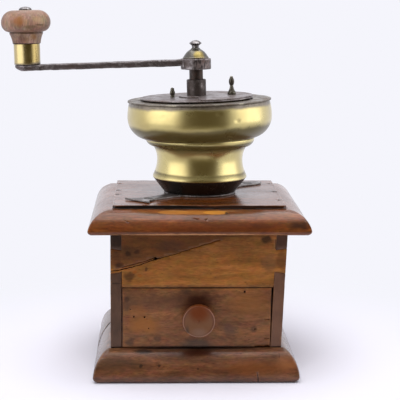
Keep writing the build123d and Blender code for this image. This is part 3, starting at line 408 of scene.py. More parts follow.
@dataclass(frozen=True)
class DarkGap:
    """The inside of a split or wormhole: dust and old wax, which gives the eye no light back.

    Attributes:
        name: The material's name.
        dark: Colour of the wax.
        light: Colour of the dust.
        dust_mm: Size of the flecks of dust.
    """

    name: str = "old_wax_and_dust"
    dark: str = "#150c07"
    light: str = "#2b1a10"
    dust_mm: float = 1.5

    def build(self) -> Material:
        """Makes the material.

        Returns:
            The material.
        """
        material, tree = new_material(self.name)
        here = add(tree, "TexCoord", output="Object")
        dust = add(tree, "TexNoise", {"Vector": here, "Scale": 1 / (self.dust_mm * MM), "Detail": 2.0})
        colour = add(tree, "Mix", {0: dust, 6: linear(self.dark), 7: linear(self.light)}, 2, data_type="RGBA")
        shader = add(
            tree, "BsdfPrincipled", {"Base Color": colour, "Roughness": 0.9, "Specular IOR Level": 0.1}
        )
        add(tree, "OutputMaterial", {"Surface": shader})
        return material


@dataclass(frozen=True)
class SpunBrass:
    """Sheet brass, spun on a lathe and rubbed bright by hand.

    It is a satin mirror with fine rings and brown patches.

    Attributes:
        name: The material's name.
        clean: Colour of the bare metal.
        aged: Colour of its brown patches.
        tarnish: Colour of the thick grey tarnish that is left where no cloth reaches.
        foot: A point on the turning axis.
        axis: The direction of the turning axis.
        bands: Heights above the foot, in metres, between which the thick tarnish lies.
        films_and_painted_shade: Heights above the foot, in metres, between which a thin brown film dulls the
            metal; it is partly patina and partly painted shade and painted dark reflection.
        film: Colour of that film, which is partly painted shade.
        fade_mm: Half the height over which a film fades out at its lower and at its upper edge.
        crust_fade_mm: The same, for the thick tarnish.
        roughness: Roughness of the rubbed metal.
        ring_mm: Spacing of the spinning marks. Real ones are about 0.1 mm; they are drawn coarser, to show.
        patina: How much of the brown patches shows.
        lacquer: Weight of the hazy film that whitens the metal where it turns away.
        rubbed: Where fingers rub the metal bare and how far round that, in metres, if it is dull elsewhere.
        broad_mm: Size of the large patches.
        close_mm: Size of the small ones.
        seed: Shifts the patches.
    """

    name: str
    clean: str = "#cfbf80"
    aged: str = "#a28c50"
    tarnish: str = "#6f655c"
    foot: Point = (0.0, 0.0, 0.0)
    axis: Point = (0.0, 0.0, 1.0)
    bands: tuple[tuple[float, float], ...] = ()
    films_and_painted_shade: tuple[tuple[float, float], ...] = ()
    film: str = "#5b4f22"
    fade_mm: tuple[float, float] = (1.0, 2.2)
    crust_fade_mm: tuple[float, float] = (1.3, 1.3)
    roughness: float = 0.25
    ring_mm: float = 0.8
    patina: float = 0.45
    lacquer: float = 0.6
    rubbed: tuple[Point, float] | None = None
    broad_mm: float = 24.0
    close_mm: float = 5.0
    seed: float = 0.0

    def build(self) -> Material:
        """Makes the material.

        Returns:
            The material.
        """
        material, tree = new_material(self.name)
        here = add(tree, "TexCoord", output="Object")
        out = add(tree, "VectorMath", {0: here, 1: self.foot}, operation="SUBTRACT")
        height = add(tree, "VectorMath", {0: out, 1: self.axis}, "Value", operation="DOT_PRODUCT")
        moved = add(tree, "VectorMath", {0: here, 1: (self.seed, 0.0, self.seed)})
        rings = add(
            tree, "TexNoise", {"W": height, "Scale": 1 / (self.ring_mm * MM), "Detail": 2.0},
            noise_dimensions="1D",
        )
        broad = add(tree, "TexNoise", {"Vector": moved, "Scale": 1 / (self.broad_mm * MM), "Detail": 4.0})
        close = add(tree, "TexNoise", {"Vector": moved, "Scale": 1 / (self.close_mm * MM), "Detail": 3.0})

        brown = add(tree, "MapRange", {0: broad, 1: 0.42, 2: 0.72, 3: 0.0, 4: self.patina})
        if self.rubbed:
            centre, reach = self.rubbed
            away = add(tree, "VectorMath", {0: here, 1: centre}, "Value", operation="DISTANCE")
            away = add(tree, "Math", {0: close, 1: 0.6 * reach, 2: away}, operation="MULTIPLY_ADD")
            brown = add(
                tree, "MapRange", {0: away, 1: 0.8 * reach, 2: 1.4 * reach, 3: 0.0, 4: self.patina},
                interpolation_type="SMOOTHSTEP",
            )
        colour = add(
            tree, "Mix", {0: brown, 6: linear(self.clean), 7: linear(self.aged)}, 2, data_type="RGBA"
        )
        # The brown film: partly patina, partly painted shade and painted dark reflection.
        film_and_shade = self.between(tree, height, broad, self.films_and_painted_shade, self.fade_mm)
        colour = add(tree, "Mix", {0: film_and_shade, 6: colour, 7: linear(self.film)}, 2, data_type="RGBA")
        edge = add(tree, "Mix", {0: 0.35, 2: broad, 3: close})
        dull = self.between(tree, height, edge, self.bands, self.crust_fade_mm)
        uneven = add(tree, "MapRange", {0: close, 1: 0.35, 2: 0.65, 3: 0.65, 4: 1.35})
        crust = add(
            tree, "Mix", {0: 1.0, 6: linear(self.tarnish), 7: uneven}, 2, data_type="RGBA",
            blend_type="MULTIPLY",
        )
        colour = add(tree, "Mix", {0: dull, 6: colour, 7: crust}, 2, data_type="RGBA")
        rough = add(tree, "MapRange", {0: broad, 1: 0.3, 2: 0.7, 3: self.roughness, 4: self.roughness + 0.08})
        rough = add(tree, "Mix", {0: dull, 2: rough, 3: 0.5})
        metal = add(tree, "Math", {0: dull, 1: 0.3}, operation="MULTIPLY")
        metal = add(tree, "Math", {0: film_and_shade, 1: 0.6, 2: metal}, operation="MULTIPLY_ADD")
        metal = add(tree, "Math", {0: 1.0, 1: metal}, operation="SUBTRACT")
        relief = add(tree, "Bump", {"Strength": 0.06, "Distance": 0.03 * MM, "Height": rings})
        haze: Socket | float = self.lacquer
        if self.films_and_painted_shade:
            haze = add(tree, "Math", {0: film_and_shade, 1: -0.9 * haze, 2: haze}, operation="MULTIPLY_ADD")
        shader = add(
            tree, "BsdfPrincipled",
            {
                "Base Color": colour, "Metallic": metal, "Roughness": rough, "Normal": relief,
                "Coat Weight": haze, "Coat Roughness": 0.25,
            },
        )
        add(tree, "OutputMaterial", {"Surface": shader})
        return material

    def between(
        self,
        tree: Tree,
        height: Socket,
        close: Socket,
        bands: tuple[tuple[float, float], ...],
        fade_mm: tuple[float, float],
    ) -> Socket | float:
        """1 between the given heights and 0 beyond them, with a ragged, faded edge.

        Args:
            tree: The node tree.
            height: The height on the piece.
            close: Noise that makes the edge ragged.
            bands: The heights.
            fade_mm: Half the height over which the lower and the upper edge fade.

        Returns:
            The share, or 0 without bands.
        """
        share: Socket | float = 0.0
        below, above = (f * MM for f in fade_mm)
        for low, high in bands:
            stray = add(tree, "MapRange", {0: close, 1: 0.25, 2: 0.75, 3: -0.8 * above, 4: 0.8 * above})
            level = add(tree, "Math", {0: height, 1: stray})
            rise = add(
                tree, "MapRange", {0: level, 1: low - below, 2: low + below, 3: 0.0, 4: 0.92},
                interpolation_type="SMOOTHSTEP",
            )
            fall = add(
                tree, "MapRange", {0: level, 1: high + above, 2: high - above},
                interpolation_type="SMOOTHSTEP",
            )
            band = add(tree, "Math", {0: rise, 1: fall}, operation="MULTIPLY")
            share = add(tree, "Math", {0: share, 1: band}, operation="MAXIMUM")
        return share


@dataclass(frozen=True)
class WornIron:
    """Wrought iron or sheet iron with an old brown skin, rubbed to grey metal where hands and parts meet.

    Attributes:
        name: The material's name.
        skin: Colour of the old skin.
        bare: Colour of the rubbed metal.
        rust: Colour of the rust patches.
        metallic: How metallic the skin is.
        roughness: Roughness of the skin.
        patch_mm: Size of the patches.
        pit_mm: Size of the pits and hammer marks.
        pit_depth_mm: Their depth.
        filed: The axis and radius, in metres, within which upright file strokes show.
        stroke_mm: Width of those strokes. Real ones are about 0.3 mm; they are drawn coarser, to show.
        seed: Shifts the patches and pits.
    """

    name: str
    skin: str = "#5a504f"
    bare: str = "#8d8687"
    rust: str = "#4a352b"
    metallic: float = 0.75
    roughness: float = 0.42
    patch_mm: float = 9.0
    pit_mm: float = 1.1
    pit_depth_mm: float = 0.08
    filed: tuple[Point, float] | None = None
    stroke_mm: float = 0.9
    seed: float = 0.0

    def build(self) -> Material:
        """Makes the material.

        Returns:
            The material.
        """
        material, tree = new_material(self.name)
        here = add(tree, "TexCoord", output="Object")
        moved = add(tree, "VectorMath", {0: here, 1: (self.seed, self.seed, 0.0)})
        patch = add(
            tree, "TexNoise",
            {"Vector": moved, "Scale": 1 / (self.patch_mm * MM), "Detail": 5.0, "Roughness": 0.65},
        )
        pits = add(
            tree, "TexNoise",
            {"Vector": moved, "Scale": 1 / (self.pit_mm * MM), "Detail": 3.0, "Roughness": 0.6},
        )
        share = add(tree, "MapRange", {0: patch, 1: 0.48, 2: 0.64})
        colour = add(tree, "Mix", {0: share, 6: linear(self.skin), 7: linear(self.rust)}, 2, data_type="RGBA")
        pitted = add(tree, "MapRange", {0: pits, 1: 0.3, 2: 0.7, 3: 0.8, 4: 1.15})
        colour = add(tree, "Mix", {0: 1.0, 6: colour, 7: pitted}, 2, data_type="RGBA", blend_type="MULTIPLY")
        if self.filed:
            centre, reach = self.filed
            away = add(tree, "VectorMath", {0: here, 1: centre}, operation="SUBTRACT")
            away = add(tree, "VectorMath", {0: away, 1: (1.0, 1.0, 0.0)}, operation="MULTIPLY")
            away = add(tree, "VectorMath", {0: away}, "Value", operation="LENGTH")
            inside = add(tree, "MapRange", {0: away, 1: reach, 2: reach - MM})
            width = self.stroke_mm * MM
            scale = (1 / width, 1 / width, 0.25 / width)
            stroke = add(tree, "Mapping", {"Vector": here, "Scale": scale})
            stroke = add(tree, "TexNoise", {"Vector": stroke, "Scale": 1.0, "Detail": 1.0})
            stroke = add(tree, "MapRange", {0: stroke, 1: 0.42, 2: 0.58, 3: 0.5, 4: 2.2})
            stroked = add(
                tree, "Mix", {0: 1.0, 6: colour, 7: stroke}, 2, data_type="RGBA", blend_type="MULTIPLY"
            )
            colour = add(tree, "Mix", {0: inside, 6: colour, 7: stroked}, 2, data_type="RGBA")
        rubbed = add(tree, "Attribute", output="Fac", attribute_name="wear")
        bright = add(tree, "MapRange", {0: patch, 1: 0.46, 2: 0.34})
        bright = add(tree, "Math", {0: bright, 1: rubbed}, operation="MAXIMUM")
        bright = add(tree, "Math", {0: bright, 1: 0.85}, operation="MULTIPLY")
        colour = add(tree, "Mix", {0: bright, 6: colour, 7: linear(self.bare)}, 2, data_type="RGBA")
        rough = add(
            tree, "MapRange", {0: patch, 1: 0.35, 2: 0.65, 3: self.roughness - 0.1, 4: self.roughness + 0.18}
        )
        metal = add(tree, "MapRange", {0: share, 3: self.metallic, 4: self.metallic * 0.55})
        depth = self.pit_depth_mm * MM
        relief = add(tree, "Bump", {"Strength": 0.5, "Distance": depth, "Height": pits})
        shader = add(
            tree, "BsdfPrincipled",
            {"Base Color": colour, "Metallic": metal, "Roughness": rough, "Normal": relief},
        )
        add(tree, "OutputMaterial", {"Surface": shader})
        return material


Finish = AgedWood | DarkGap | SpunBrass | WornIron


# ---------------------------------------------------------------- places taken from the frame
def axis_place(origin: Sequence[float], direction: Sequence[float]) -> Matrix:
    """A local frame whose Z lies along an axis, with its X as near the frame's X as it can be.

    Args:
        origin: A point on the axis, in metres.
        direction: The axis.

    Returns:
        The matrix from the local frame to the frame.
    """
    z = Vector(direction).normalized()
    beside = Vector((0.0, 0.0, 1.0)) if abs(z.y) > 0.9 else Vector((0.0, 1.0, 0.0))
    x = beside.cross(z).normalized()
    y = z.cross(x)
    turn = Matrix((x, y, z)).transposed().to_4x4()
    return Matrix.Translation(Vector(origin)) @ turn


def axis_of(place: Matrix) -> Point:
    """The direction of a local frame's Z."""
    return tuple(place.to_3x3() @ Vector((0.0, 0.0, 1.0)))


def joint_place(name: str) -> Matrix:
    """The local frame on a joint's axis."""
    joint = next(j for j in frame["joints"] if j["name"] == name)
    return axis_place(joint["pos_m"], joint["axis"])


def centred_on(node: str, place: Matrix) -> Matrix:
    """The local frame moved sideways to the middle of a node.

    Args:
        node: The CAD node.
        place: A local frame that is parallel to the node's axis.

    Returns:
        The local frame with the node's middle on its Z axis.
    """
    back = place.inverted()
    points = [back @ v.co for v in frame["nodes"][node].data.vertices]
    middle = [(min(p[i] for p in points) + max(p[i] for p in points)) / 2 for i in (0, 1)]
    return place @ Matrix.Translation(Vector((*middle, 0.0)))


def local_span(node: str, place: Matrix) -> tuple[float, float]:
    """Lowest and highest reach of a node along a local frame's Z.

    Args:
        node: The CAD node.
        place: The local frame.

    Returns:
        The two heights, in metres.
    """
    back = place.inverted()
    heights = [(back @ v.co).z for v in frame["nodes"][node].data.vertices]
    return min(heights), max(heights)


UPRIGHT = axis_place((0.0, 0.0, 0.0), (0.0, 0.0, 1.0))


# ---------------------------------------------------------------- meshes
WELD_MM = 0.002  # points of a CAD mesh that are this close are one
OUTLINE_WELD_MM = 0.004  # the same, for the points of an outline
AXIS_MM = 0.02  # points of an outline that are this close to the axis lie on it
SLICE = 1e-7  # how close to a cutting plane a point counts as on it, in metres
SECTION = 1e-6  # the same, where an outline is cut
SHARP_DEG = 32.0  # edges that turn by more than this wear
CORNER_DEG = 24.0  # corners of an outline that turn by more than this are rounded
LEAST_RIM_MM = 6.0  # edges of smaller holes don't wear


def wander(point: Vector, length: float, seed: float) -> float:
    """Smooth noise between about -1 and 1 that changes over a length."""
    return noise.noise(point / length + Vector((seed, -seed, seed * 0.37)))


def object_from(mesh: Mesh, name: str, corner_deg: float = 38.0) -> Piece:
    """Turns a bmesh into an object with smooth faces and kept corners.

    Args:
        mesh: The bmesh, which is freed.
        name: The object's name.
        corner_deg: Faces that meet at more than this stay sharp.

    Returns:
        The new object.
    """
    data = bpy.data.meshes.new(name)
    for face in mesh.faces:
        face.smooth = True
    mesh.to_mesh(data)
    mesh.free()
    data.set_sharp_from_angle(angle=math.radians(corner_deg))
    piece = bpy.data.objects.new(name, data)
    bpy.context.scene.collection.objects.link(piece)
    return piece


def cad_mesh(node: str, flat_deg: float = 0.4) -> Mesh:
    """A welded copy of a CAD node's mesh, with its flat faces whole again.

    Args:
        node: The CAD node.
        flat_deg: Faces that meet at less than this become one.

    Returns:
        The copy.
    """
    mesh = bmesh.new()
    mesh.from_mesh(frame["nodes"][node].data)
    bmesh.ops.remove_doubles(mesh, verts=mesh.verts, dist=WELD_MM * MM)
    bmesh.ops.dissolve_limit(mesh, angle_limit=math.radians(flat_deg), verts=mesh.verts, edges=mesh.edges)
    return mesh


@dataclass(frozen=True)
class Wear:
    """How much a flat or forged piece has worn.

    Attributes:
        edge_mm: Width that its edges are rounded over.
        grid_mm: Spacing of the mesh that carries the wear.
        wave_mm: How far its faces stray from flat.
        wave_length_mm: The length of those waves.
        chip_mm: How deep the worst of its edges are rubbed or chipped.
        chip_length_mm: Length of such a place along the edge.
        seed: Shifts the wear, so that no two pieces match.
        reach: How far from an edge its rubbing ends, in widths of the rounding.
        bias: How much of the edge is rubbed beyond half of it.
        nibble: How much of the rubbing varies within a place.
        nibble_mm: The length over which it does.
        least: The share of bare wood or metal where the rubbing starts.
        gain: How fast that share grows with the rubbing.
        sink_mm: How far the worn faces lie under the new ones.
    """

    edge_mm: float = 0.7
    grid_mm: float = 3.0
    wave_mm: float = 0.12
    wave_length_mm: float = 34.0
    chip_mm: float = 0.5
    chip_length_mm: float = 8.0
    seed: float = 1.0
    reach: float = 1.7
    bias: float = 0.15
    nibble: float = 0.4
    nibble_mm: float = 2.5
    least: float = 0.25
    gain: float = 2.2
    sink_mm: float = 0.02


def gridded(mesh: Mesh, spacing: float) -> None:
    """Cuts a mesh along evenly spaced planes across X, Y and Z, so that its faces can take up wear.

    Args:
        mesh: The bmesh that is cut.
        spacing: Distance between the planes, in metres.
    """
    for axis in range(3):
        reach = [v.co[axis] for v in mesh.verts]
        count = int((max(reach) - min(reach)) / spacing)
        for i in range(1, count + 1):
            co = Vector()
            co[axis] = min(reach) + (max(reach) - min(reach)) * i / (count + 1)
            no = Vector()
            no[axis] = 1.0
            geometry = mesh.verts[:] + mesh.edges[:] + mesh.faces[:]
            bmesh.ops.bisect_plane(mesh, geom=geometry, dist=SLICE, plane_co=co, plane_no=no)


def long_rims(edges: Sequence[bmesh.types.BMEdge], least: float) -> list[bmesh.types.BMEdge]:
    """The sharp edges that are worn: those of small holes are left out, since nails and screws fill them.

    Args:
        edges: The sharp edges.
        least: The size, in metres, that a run of joined edges has at least.

    Returns:
        The edges of the longer runs.
    """
    waiting, kept = set(edges), []
    while waiting:
        run = [waiting.pop()]
        for edge in run:
            joined = {e for v in edge.verts for e in v.link_edges} & waiting
            waiting -= joined
            run += joined
        points = [v.co for e in run for v in e.verts]
        if max(max(p[i] for p in points) - min(p[i] for p in points) for i in range(3)) > least:
            kept += run
    return kept


def worn_copy(node: str, wear: Wear, shape: Callable[[Vector], Vector] | None = None) -> Piece:
    """Remakes a CAD piece with rounded, rubbed edges and faces that are no longer quite flat.

    Args:
        node: The CAD node.
        wear: How much it has worn.
        shape: An extra shift of each point, if the piece has a form of its own.

    Returns:
        The worn piece, with the rubbed places in its "wear" attribute.
    """
    mesh = cad_mesh(node)
    turned = math.radians(SHARP_DEG)
    sharp = [e for e in mesh.edges if len(e.link_faces) == 2 and e.calc_face_angle(0.0) > turned]
    sharp = long_rims(sharp, LEAST_RIM_MM * MM)
    rim = []
    for edge in sharp:
        start, end = (v.co.copy() for v in edge.verts)
        parts = max(1, int((end - start).length / MM))
        rim += [start.lerp(end, i / parts) for i in range(parts + 1)]
    nearest = KDTree(len(rim))
    for i, point in enumerate(rim):
        nearest.insert(point, i)
    nearest.balance()
    bmesh.ops.bevel(
        mesh, geom=sharp, offset=wear.edge_mm * MM, offset_type="OFFSET", segments=2, profile=0.5,
        affect="EDGES", clamp_overlap=True,
    )
    band = mesh.verts.layers.float.new("wear")
    gridded(mesh, wear.grid_mm * MM)
    mesh.normal_update()
    for vert in mesh.verts:
        away = nearest.find(vert.co)[2] if rim else 1.0
        vert[band] = min(1.0, max(0.0, wear.reach - away / (wear.edge_mm * MM)))
        rub = vert[band] * max(0.0, wander(vert.co, wear.chip_length_mm * MM, wear.seed) + wear.bias)
        rub *= 1 - wear.nibble + wear.nibble * wander(vert.co, wear.nibble_mm * MM, wear.seed + 9)
        wave = wander(vert.co, wear.wave_length_mm * MM, wear.seed + 4)
        vert[band] *= min(1.0, wear.least + wear.gain * rub)
        shift = vert.normal * (wave * wear.wave_mm - rub * wear.chip_mm - wear.sink_mm) * MM
        if shape:
            shift += shape(vert.co)
        vert.co += shift
    bmesh.ops.triangulate(mesh, faces=[f for f in mesh.faces if len(f.verts) > 4])
    return object_from(mesh, f"worn_{node}")


def section(node: str, place: Matrix) -> tuple[list[Vector], bool]:
    """The outline of a turned CAD node, in a half plane through its axis.

    Args:
        node: The CAD node.
        place: The local frame on its axis.

    Returns:
        The points as (radius, 0, height) in order, and whether they close on themselves.
    """
    mesh = cad_mesh(node, 0.01)
    mesh.transform(place.inverted())
    for across, both in (((0, 1, 0), True), ((1, 0, 0), False)):
        everything = mesh.verts[:] + mesh.edges[:] + mesh.faces[:]
        bmesh.ops.bisect_plane(
            mesh, geom=everything, dist=SECTION, plane_co=(0, 0, 0), plane_no=across, clear_inner=True,
            clear_outer=both,
        )
    bmesh.ops.remove_doubles(mesh, verts=mesh.verts, dist=OUTLINE_WELD_MM * MM)
    ends = [v for v in mesh.verts if len(v.link_edges) == 1]
    vert = min(ends, key=lambda v: v.co.z) if ends else min(mesh.verts, key=lambda v: (v.co.z, v.co.x))
    path, seen = [vert.co.copy()], {vert}
    while True:
        onward = [e.other_vert(vert) for e in vert.link_edges if e.other_vert(vert) not in seen]
        if not onward:
            break
        vert = onward[0]
        seen.add(vert)
        path.append(vert.co.copy())
    mesh.free()
    return path, not ends


def eased(path: list[Vector], closed: bool, round_mm: float, step_mm: float) -> list[Vector]:
    """Rounds the corners of an outline and divides its long runs.

    Args:
        path: The outline's points.
        closed: Whether it closes on itself.
        round_mm: How far from a corner its rounding starts.
        step_mm: The longest run that is left whole.

    Returns:
        The new points.
    """
    count = len(path)
    most = 0.4  # the share of a run that one corner may take
    points: list[Vector] = []
    for i, point in enumerate(path):
        before, after = path[i - 1], path[(i + 1) % count]
        inner = closed or 0 < i < count - 1
        turn = (point - before).angle(after - point, 0.0) if inner else 0.0
        if turn > math.radians(CORNER_DEG):
            run = min(round_mm * MM, most * (point - before).length, most * (after - point).length)
            first = point + (before - point).normalized() * run
            last = point + (after - point).normalized() * run
            points += [first, (first + last) / 4 + point / 2, last]
        else:
            points.append(point)
    finer: list[Vector] = []
    pairs = list(zip(points, points[1:] + points[:1]))
    for start, end in pairs if closed else pairs[:-1]:
        parts = max(1, math.ceil((end - start).length / (step_mm * MM)))
        finer += [start.lerp(end, k / parts) for k in range(parts)]
    return finer if closed else finer + [points[-1]]


@dataclass(frozen=True)
class Dent:
    """A dent in a turned piece.

    Attributes:
        angle_deg: Where it is, round the axis from +X.
        height_mm: Where it is, above the piece's foot.
        reach_mm: Its radius.
        depth_mm: Its depth.
    """

    angle_deg: float
    height_mm: float
    reach_mm: float
    depth_mm: float


@dataclass(frozen=True)
class Turning:
    """How a turned piece is remade from its outline.

    Attributes:
        segments: Facets round the axis.
        step_mm: The longest run along the outline.
        round_mm: How far its corners are rounded.
        wave_mm: How far it strays from round.
        wave_length_mm: The length of those waves.
        dents: Dents in their places.
        seed: Shifts the waves.
    """

    segments: int = 160
    step_mm: float = 1.4
    round_mm: float = 0.3
    wave_mm: float = 0.12
    wave_length_mm: float = 22.0
    dents: tuple[Dent, ...] = ()
    seed: float = 3.0


def turned_copy(
    node: str, place: Matrix, turning: Turning, shape: Callable[[Vector], Vector] | None = None
) -> Piece:
    """Remakes a turned CAD piece with eased corners, dents and a surface that is no longer quite round.

    Args:
        node: The CAD node.
        place: The local frame on its axis.
        turning: How it is remade.
        shape: An extra shift of each point, in the local frame.

    Returns:
        The remade piece.
    """
    outline, closed = section(node, place)
    outline = eased(outline, closed, turning.round_mm, turning.step_mm)
    foot = min(p.z for p in outline)
    mesh = bmesh.new()
    rings: list[list[bmesh.types.BMVert]] = []
    for point in outline:
        if point.x < AXIS_MM * MM:
            pole = Vector((0.0, 0.0, point.z))
            rings.append([mesh.verts.new(pole + shape(pole) if shape else pole)])
            continue
        ring = []
        for k in range(turning.segments):
            angle = math.tau * k / turning.segments
            out = Vector((math.cos(angle), math.sin(angle), 0.0))
            spot = out * point.x + Vector((0.0, 0.0, point.z))
            grow = turning.wave_mm * wander(spot, turning.wave_length_mm * MM, turning.seed)
            for dent in turning.dents:
                gap = math.radians((math.degrees(angle) - dent.angle_deg + 180) % 360 - 180) * point.x
                away = math.hypot(gap, point.z - foot - dent.height_mm * MM) / (dent.reach_mm * MM)
                grow -= dent.depth_mm * max(0.0, 1 - away * away) ** 2
            spot += out * grow * MM
            if shape:
                spot += shape(spot)
            ring.append(mesh.verts.new(spot))
        rings.append(ring)
    pairs = list(zip(rings, rings[1:] + rings[:1]))
    for low, high in pairs if closed else pairs[:-1]:
        for k in range(turning.segments):
            n = (k + 1) % turning.segments
            corners = [low[k % len(low)], low[n % len(low)], high[n % len(high)], high[k % len(high)]]
            corners = [c for i, c in enumerate(corners) if c not in corners[:i]]
            if len(corners) > 2:
                mesh.faces.new(corners)
    bmesh.ops.recalc_face_normals(mesh, faces=mesh.faces)
    mesh.transform(place)
    return object_from(mesh, f"turned_{node}", 60.0)


# ---------------------------------------------------------------- splits, holes and chips
@dataclass(frozen=True)
class Split:
    """A crack that opened along the grain.

    Attributes:
        path: Its points on the surface, in millimetres from the lowest corner of the node's box.
        outward: The surface's outward direction.
        width_mm: Its width at each point of the path.
        depth_mm: Its depth at the widest.
        jag_mm: How far it strays from the path.
        seed: Shifts its straying.
        step_mm: The length of its facets.
        over_mm: How far its cutter stands out of the surface.
        floor: Half the share of the width that its floor has.
        shallow: The share of the depth that its narrow ends have.
        uneven: How much its width varies.
        search_mm: How far outside the surface is looked for.
    """

    path: tuple[Point, ...]
    outward: Point
    width_mm: tuple[float, ...]
    depth_mm: float = 2.5
    jag_mm: float = 0.35
    seed: float = 5.0
    step_mm: float = 1.3
    over_mm: float = 0.8
    floor: float = 0.12
    shallow: float = 0.35
    uneven: float = 0.35
    search_mm: float = 12.0

    def cut(self, mesh: Mesh, corner: Vector, skin: BVHTree) -> None:
        """Adds the crack's wedge to a cutter, along the skin of the piece.

        Args:
            mesh: The cutter.
            corner: The lowest corner of the node's box, in metres.
            skin: The piece's surface.
        """
        out = Vector(self.outward).normalized()
        rows = []
        widest = max(self.width_mm)
        for i, (start, end) in enumerate(zip(self.path, self.path[1:])):
            start, end = Vector(start), Vector(end)
            parts = max(1, int((end - start).length / self.step_mm))
            last = i == len(self.path) - 2
            for k in range(parts + (1 if last else 0)):
                share = k / parts
                point = start.lerp(end, share)
                side = (end - start).normalized().cross(out)
                point += side * self.jag_mm * wander(point, 2.1, self.seed)
                met = skin.ray_cast(corner + MM * (point + out * self.search_mm), -out)[0]
                point = (met - corner) / MM if met else point
                width = self.width_mm[i] * (1 - share) + self.width_mm[i + 1] * share
                width *= 1 + self.uneven * wander(point, 3.3, self.seed + 2)
                depth = self.depth_mm * (self.shallow + (1 - self.shallow) * width / widest)
                ring = (
                    (0.5, -self.over_mm), (-0.5, -self.over_mm), (-self.floor, depth), (self.floor, depth)
                )
                rows.append(
                    [mesh.verts.new(corner + MM * (point + side * width * a - out * d)) for a, d in ring]
                )
        for low, high in zip(rows, rows[1:]):
            for k in range(4):
                mesh.faces.new((low[k], low[(k + 1) % 4], high[(k + 1) % 4], high[k]))
        mesh.faces.new(rows[0][::-1])
        mesh.faces.new(rows[-1])


@dataclass(frozen=True)
class Pit:
    """A wormhole, knot hole, bruise or chip.

    Attributes:
        at: Its middle on the surface, in millimetres from the lowest corner of the node's box.
        reach: Half its size along X, Y and Z, in millimetres.
        ragged: How rough its outline is.
        seed: Shifts that roughness.
    """

    at: Point
    reach: Point
    ragged: float = 0.25
    seed: float = 2.0

    def cut(self, mesh: Mesh, corner: Vector, skin: BVHTree) -> None:
        """Adds the hole's lump to a cutter.

        Args:
            mesh: The cutter.
            corner: The lowest corner of the node's box, in metres.
            skin: The piece's surface, which a hole doesn't need.
        """
        made = bmesh.ops.create_icosphere(mesh, subdivisions=2, radius=1.0)["verts"]
        middle = Vector(self.at)
        for vert in made:
            swell = 1 + self.ragged * wander(vert.co * 1.7 + middle, 1.0, self.seed)
            vert.co = corner + MM * (middle + Vector([c * r * swell for c, r in zip(vert.co, self.reach)]))


Mark = Split | Pit


def carve(piece: Piece, node: str, marks: Iterable[Mark], gap: Material) -> None:
    """Cuts splits and holes into a piece. The cut faces get the dark finish of the gap.

    Args:
        piece: The piece that is cut.
        node: The CAD node whose box the marks are measured in.
        marks: The splits and holes.
        gap: The material inside them.
    """
    skin = BVHTree.FromPolygons(
        [v.co for v in piece.data.vertices], [tuple(p.vertices) for p in piece.data.polygons]
    )
    mesh = bmesh.new()
    for mark in marks:
        mark.cut(mesh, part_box(node)[0], skin)
    bmesh.ops.recalc_face_normals(mesh, faces=mesh.faces)
    cutter = object_from(mesh, "cutter")
    cutter.data.materials.append(gap)
    modifier = piece.modifiers.new("carve", "BOOLEAN")
    modifier.operation = "DIFFERENCE"
    modifier.solver = "MANIFOLD"
    modifier.material_mode = "TRANSFER"
    modifier.object = cutter
    view = bpy.context.evaluated_depsgraph_get()
    carved = bpy.data.meshes.new_from_object(piece.evaluated_get(view))
    piece.modifiers.clear()
    piece.data = carved
    bpy.data.objects.remove(cutter)


# ---------------------------------------------------------------- sub-assemblies
@dataclass
class SubAssembly:
    """A group of pieces that is built and dressed together.

    Attributes:
        built: The names of the pieces that stand, in the order in which they were made.
    """

    built: list[str] = field(default_factory=list, init=False)

    def dress(self, nodes: Iterable[str], finish: Finish) -> None:
        """Gives CAD nodes whose shape stays a finish.

        Args:
            nodes: The CAD nodes.
            finish: Their finish.
        """
        material = finish.build()
        for node in nodes:
            frame["nodes"][node].data.materials[0] = material
            self.built.append(node)

    def stand_in(self, piece: Piece, node: str, material: Material) -> None:
        """Lets a remade piece stand for its CAD node.

        Args:
            piece: The remade piece.
            node: The CAD node.
            material: The piece's material.
        """
        source = frame["nodes"][node]
        piece.data.materials.clear()
        piece.data.materials.append(material)
        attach(piece, source["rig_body"])
        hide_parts(node)
        self.built.append(piece.name)

    def board(
        self, node: str, wear: Wear, finish: AgedWood, marks: Iterable[Mark] = (), gap: Material | None = None
    ) -> None:
        """Remakes a board with its wear, its marks and its splits.

        Args:
            node: The CAD node.
            wear: How much it has worn.
            finish: Its wood, whose marks are measured from the node's lowest corner.
            marks: Splits and holes that are cut into it.
            gap: The material inside those.
        """
        finish = replace(finish, corner=tuple(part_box(node)[0]))
        piece = worn_copy(node, wear)
        self.stand_in(piece, node, finish.build())
        if gap:
            carve(piece, node, marks, gap)


